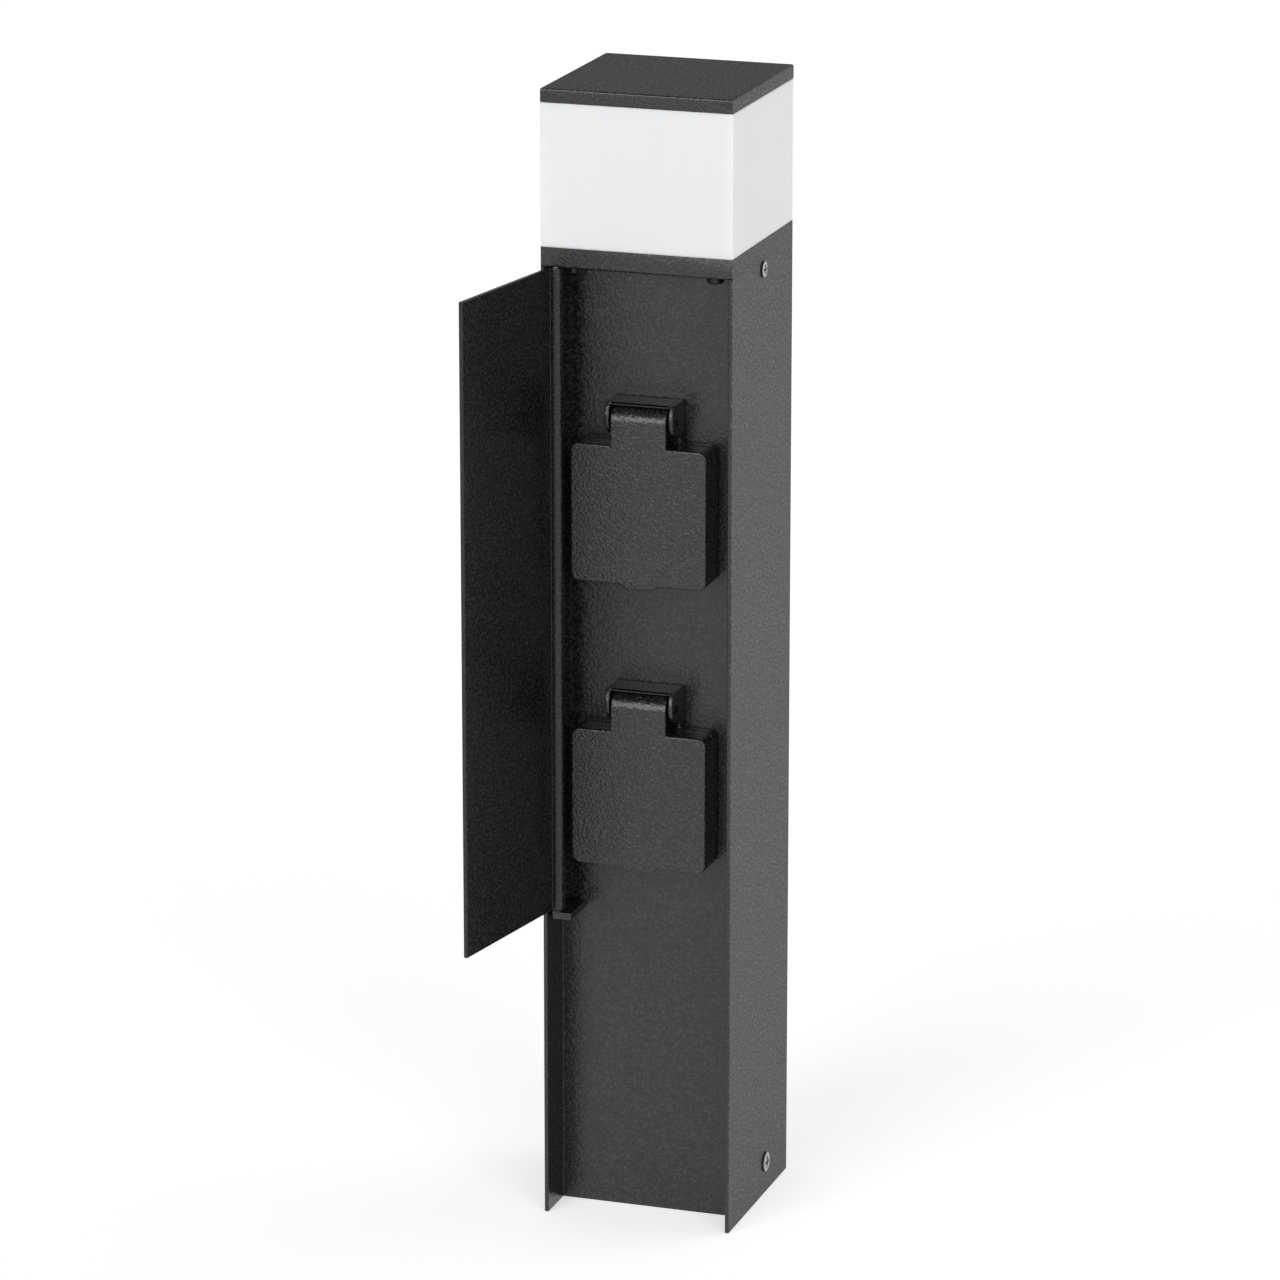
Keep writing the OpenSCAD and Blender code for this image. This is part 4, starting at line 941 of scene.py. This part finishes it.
class SOCKETPOST_OT_wires(bpy.types.Operator):
    """Insulated wires in the rear box, and the lamp's lead"""

    bl_idname = "socket_post.wires"
    bl_label = "Wires"

    def execute(self, context):
        tree = wire_tree()
        for node, finish, slot in (("live_wire", live_insulation(), "brown_wire"),
                                   ("neutral_wire", neutral_insulation(), "blue_wire"),
                                   ("earth_wire", earth_insulation(), "green_wire")):
            wires = shells(node)
            low, high = box_of(wires[-1])
            piece = grow(tree, path_mesh([self.centre_line(points) for points in wires]), {
                "Radius": (high.x - low.x) / 2, "Sides": 16, "Smoothness": 4, "Finish": finish},
                node + "_finished")
            stand_for(piece, [node], slot)
        dress("lamp_lead", grey_plastic())
        return {"FINISHED"}

    def centre_line(self, points):
        """Middle of each level of a wire that runs upwards."""
        levels = {}
        for point in points:
            levels.setdefault(round(point.z / WELD), []).append(point)
        return [sum(level, Vector()) / len(level) for _, level in sorted(levels.items())]


class SOCKETPOST_OT_lamp(bpy.types.Operator):
    """What stands inside the diffuser: rods, tray, board with its chips, and the driver below"""

    bl_idname = "socket_post.lamp"
    bl_label = "Lamp"

    def execute(self, context):
        number = context.scene.socket_post_sizes.chips
        # The rods' dark grey-beige is partly painted shade, for the rod's end that sits in the shade under
        # the head ring
        dress("tie_rods", passivated_steel_painted_shade())
        dress("led_tray", mill_aluminium())
        for node in ("led_board", "led_driver"):
            dress(node, white_plastic())
        low, high = box_of(shells("led_chips")[0])
        side = high.x - low.x
        all_low, all_high = (Vector(corner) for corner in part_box("led_chips"))
        host = bpy.data.meshes.new("middle")
        host.from_pydata([((all_low.x + all_high.x) / 2, (all_low.y + all_high.y) / 2, all_low.z)], [], [])
        piece = grow(chip_tree(), host, {
            "Array": all_high.x - all_low.x - side, "Number": number, "Half side": side / 2,
            "Height": high.z - low.z, "Finish": phosphor()}, "led_chips_finished")
        stand_for(piece, ["led_chips"], "led_phosphor")
        return {"FINISHED"}


class SOCKETPOST_OT_seals(bpy.types.Operator):
    """Rubber: seals, gaskets, the cap on a rod and the cable grommet"""

    bl_idname = "socket_post.seals"
    bl_label = "Seals"

    def execute(self, context):
        nodes = ["cable_grommet", "rod_cap", "lower_seal", "upper_seal"]
        for node in nodes + [side + piece for side in SIDES for piece in ("_gasket", "_lid_seal")]:
            dress(node, seal_rubber())
        return {"FINISHED"}


class SOCKETPOST_OT_inside(bpy.types.Operator):
    """Foot, terminals, and the sockets' covers, contacts, shutters and pins"""

    bl_idname = "socket_post.inside"
    bl_label = "Inner pieces"

    def execute(self, context):
        dress("base_foot", zinc_plate())
        dress("terminal_block", white_plastic())
        for side in SIDES:
            dress(side + "_rear_cover", grey_plastic())
            dress(side + "_line_contacts", bright_brass())
            dress(side + "_earth_clip", bright_brass())
            dress(side + "_shutter", white_plastic())
            dress(side + "_lid_pin", blackened_steel())
        return {"FINISHED"}


class SOCKETPOST_OT_stage(bpy.types.Operator):
    """Pale floor, soft light and the camera"""

    bl_idname = "socket_post.stage"
    bl_label = "Stage"

    # Each lamp's direction, as seen from the post, and its spread in degrees
    LAMPS = {
        "key": ((-0.29, -0.89, 0.34), 40),
        "side": ((0.62, -0.72, 0.3), 40),
        "rear": ((0.8, 0.56, 0.2), 60),
    }

    def execute(self, context):
        stage = context.scene.socket_post_stage
        context.scene.view_settings.view_transform = "Standard"
        self.floor()
        self.room(context, stage)
        for name, (source, spread) in self.LAMPS.items():
            self.lamp(name, source, getattr(stage, name), math.radians(spread))
        self.camera(context, stage)
        return {"FINISHED"}

    def floor(self):
        """A square floor just under the post."""
        half = 8.0
        level = -0.2 * MM
        mesh = bpy.data.meshes.new("floor")
        corners = [(-half, -half, level), (half, -half, level), (half, half, level), (-half, half, level)]
        mesh.from_pydata(corners, [], [(0, 1, 2, 3)])
        mesh.materials.append(pale_floor())
        link(bpy.data.objects.new("floor", mesh))

    def room(self, context, stage):
        """Even light from all round, brighter from the rear."""
        world = bpy.data.worlds.new("Room")
        world.use_nodes = True
        tree = world.node_tree
        tree.nodes.clear()
        towards = add(tree, "ShaderNodeSeparateXYZ", {
            0: add(tree, "ShaderNodeTexCoord").outputs["Generated"]}).outputs["Y"]
        level = add(tree, "ShaderNodeMapRange", {
            0: towards, 1: -1, 2: 1, 3: stage.room_front, 4: stage.room_rear}).outputs[0]
        light = add(tree, "ShaderNodeBackground", {"Color": rgba((1, 1, 1)), "Strength": level})
        add(tree, "ShaderNodeOutputWorld", {"Surface": light.outputs[0]})
        context.scene.world = world

    def lamp(self, name, source, strength, spread):
        """A broad, far lamp."""
        data = bpy.data.lights.new(name, "SUN")
        data.energy = strength
        data.angle = spread
        lamp = link(bpy.data.objects.new(name, data))
        lamp.rotation_euler = Vector(source).to_track_quat("Z", "Y").to_euler()

    def camera(self, context, stage):
        """The camera, turned to its target."""
        data = bpy.data.cameras.new("Camera")
        data.sensor_width = 36
        data.lens = stage.lens
        camera = link(bpy.data.objects.new("Camera", data))
        flat = math.cos(stage.elevation)
        back = Vector((math.sin(stage.azimuth) * flat, -math.cos(stage.azimuth) * flat,
                       math.sin(stage.elevation)))
        camera.location = Vector(stage.target) + back * stage.distance
        camera.rotation_euler = back.to_track_quat("Z", "Y").to_euler()
        context.scene.camera = camera


class SOCKETPOST_PT_pieces(bpy.types.Panel):
    """Makers of the pieces, in order"""

    bl_idname = "SOCKETPOST_PT_pieces"
    bl_label = "Garden socket post"
    bl_space_type = "VIEW_3D"
    bl_region_type = "UI"
    bl_category = "Socket post"

    def draw(self, context):
        for maker in MAKERS:
            self.layout.operator(maker.bl_idname)


SETTINGS = {
    "socket_post_sizes": SocketPostSizes,
    "socket_post_colours": SocketPostColours,
    "socket_post_stage": SocketPostStage,
}
MAKERS = (
    SOCKETPOST_OT_stage, SOCKETPOST_OT_housing, SOCKETPOST_OT_door, SOCKETPOST_OT_diffuser,
    SOCKETPOST_OT_sockets, SOCKETPOST_OT_lids, SOCKETPOST_OT_screws, SOCKETPOST_OT_springs,
    SOCKETPOST_OT_wires, SOCKETPOST_OT_lamp, SOCKETPOST_OT_seals, SOCKETPOST_OT_inside,
)
CLASSES = (*SETTINGS.values(), *MAKERS, SOCKETPOST_PT_pieces)


def register():
    for cls in CLASSES:
        bpy.utils.register_class(cls)
    for name, group in SETTINGS.items():
        setattr(bpy.types.Scene, name, bpy.props.PointerProperty(type=group))


def unregister():
    for name in SETTINGS:
        delattr(bpy.types.Scene, name)
    for cls in reversed(CLASSES):
        bpy.utils.unregister_class(cls)


def main():
    register()
    bpy.ops.socket_post.stage()
    bpy.ops.socket_post.housing()
    bpy.ops.socket_post.door()
    bpy.ops.socket_post.diffuser()
    bpy.ops.socket_post.sockets()
    bpy.ops.socket_post.lids()
    bpy.ops.socket_post.screws()
    bpy.ops.socket_post.springs()
    bpy.ops.socket_post.wires()
    bpy.ops.socket_post.lamp()
    bpy.ops.socket_post.seals()
    bpy.ops.socket_post.inside()


if __name__ == "__main__":
    main()
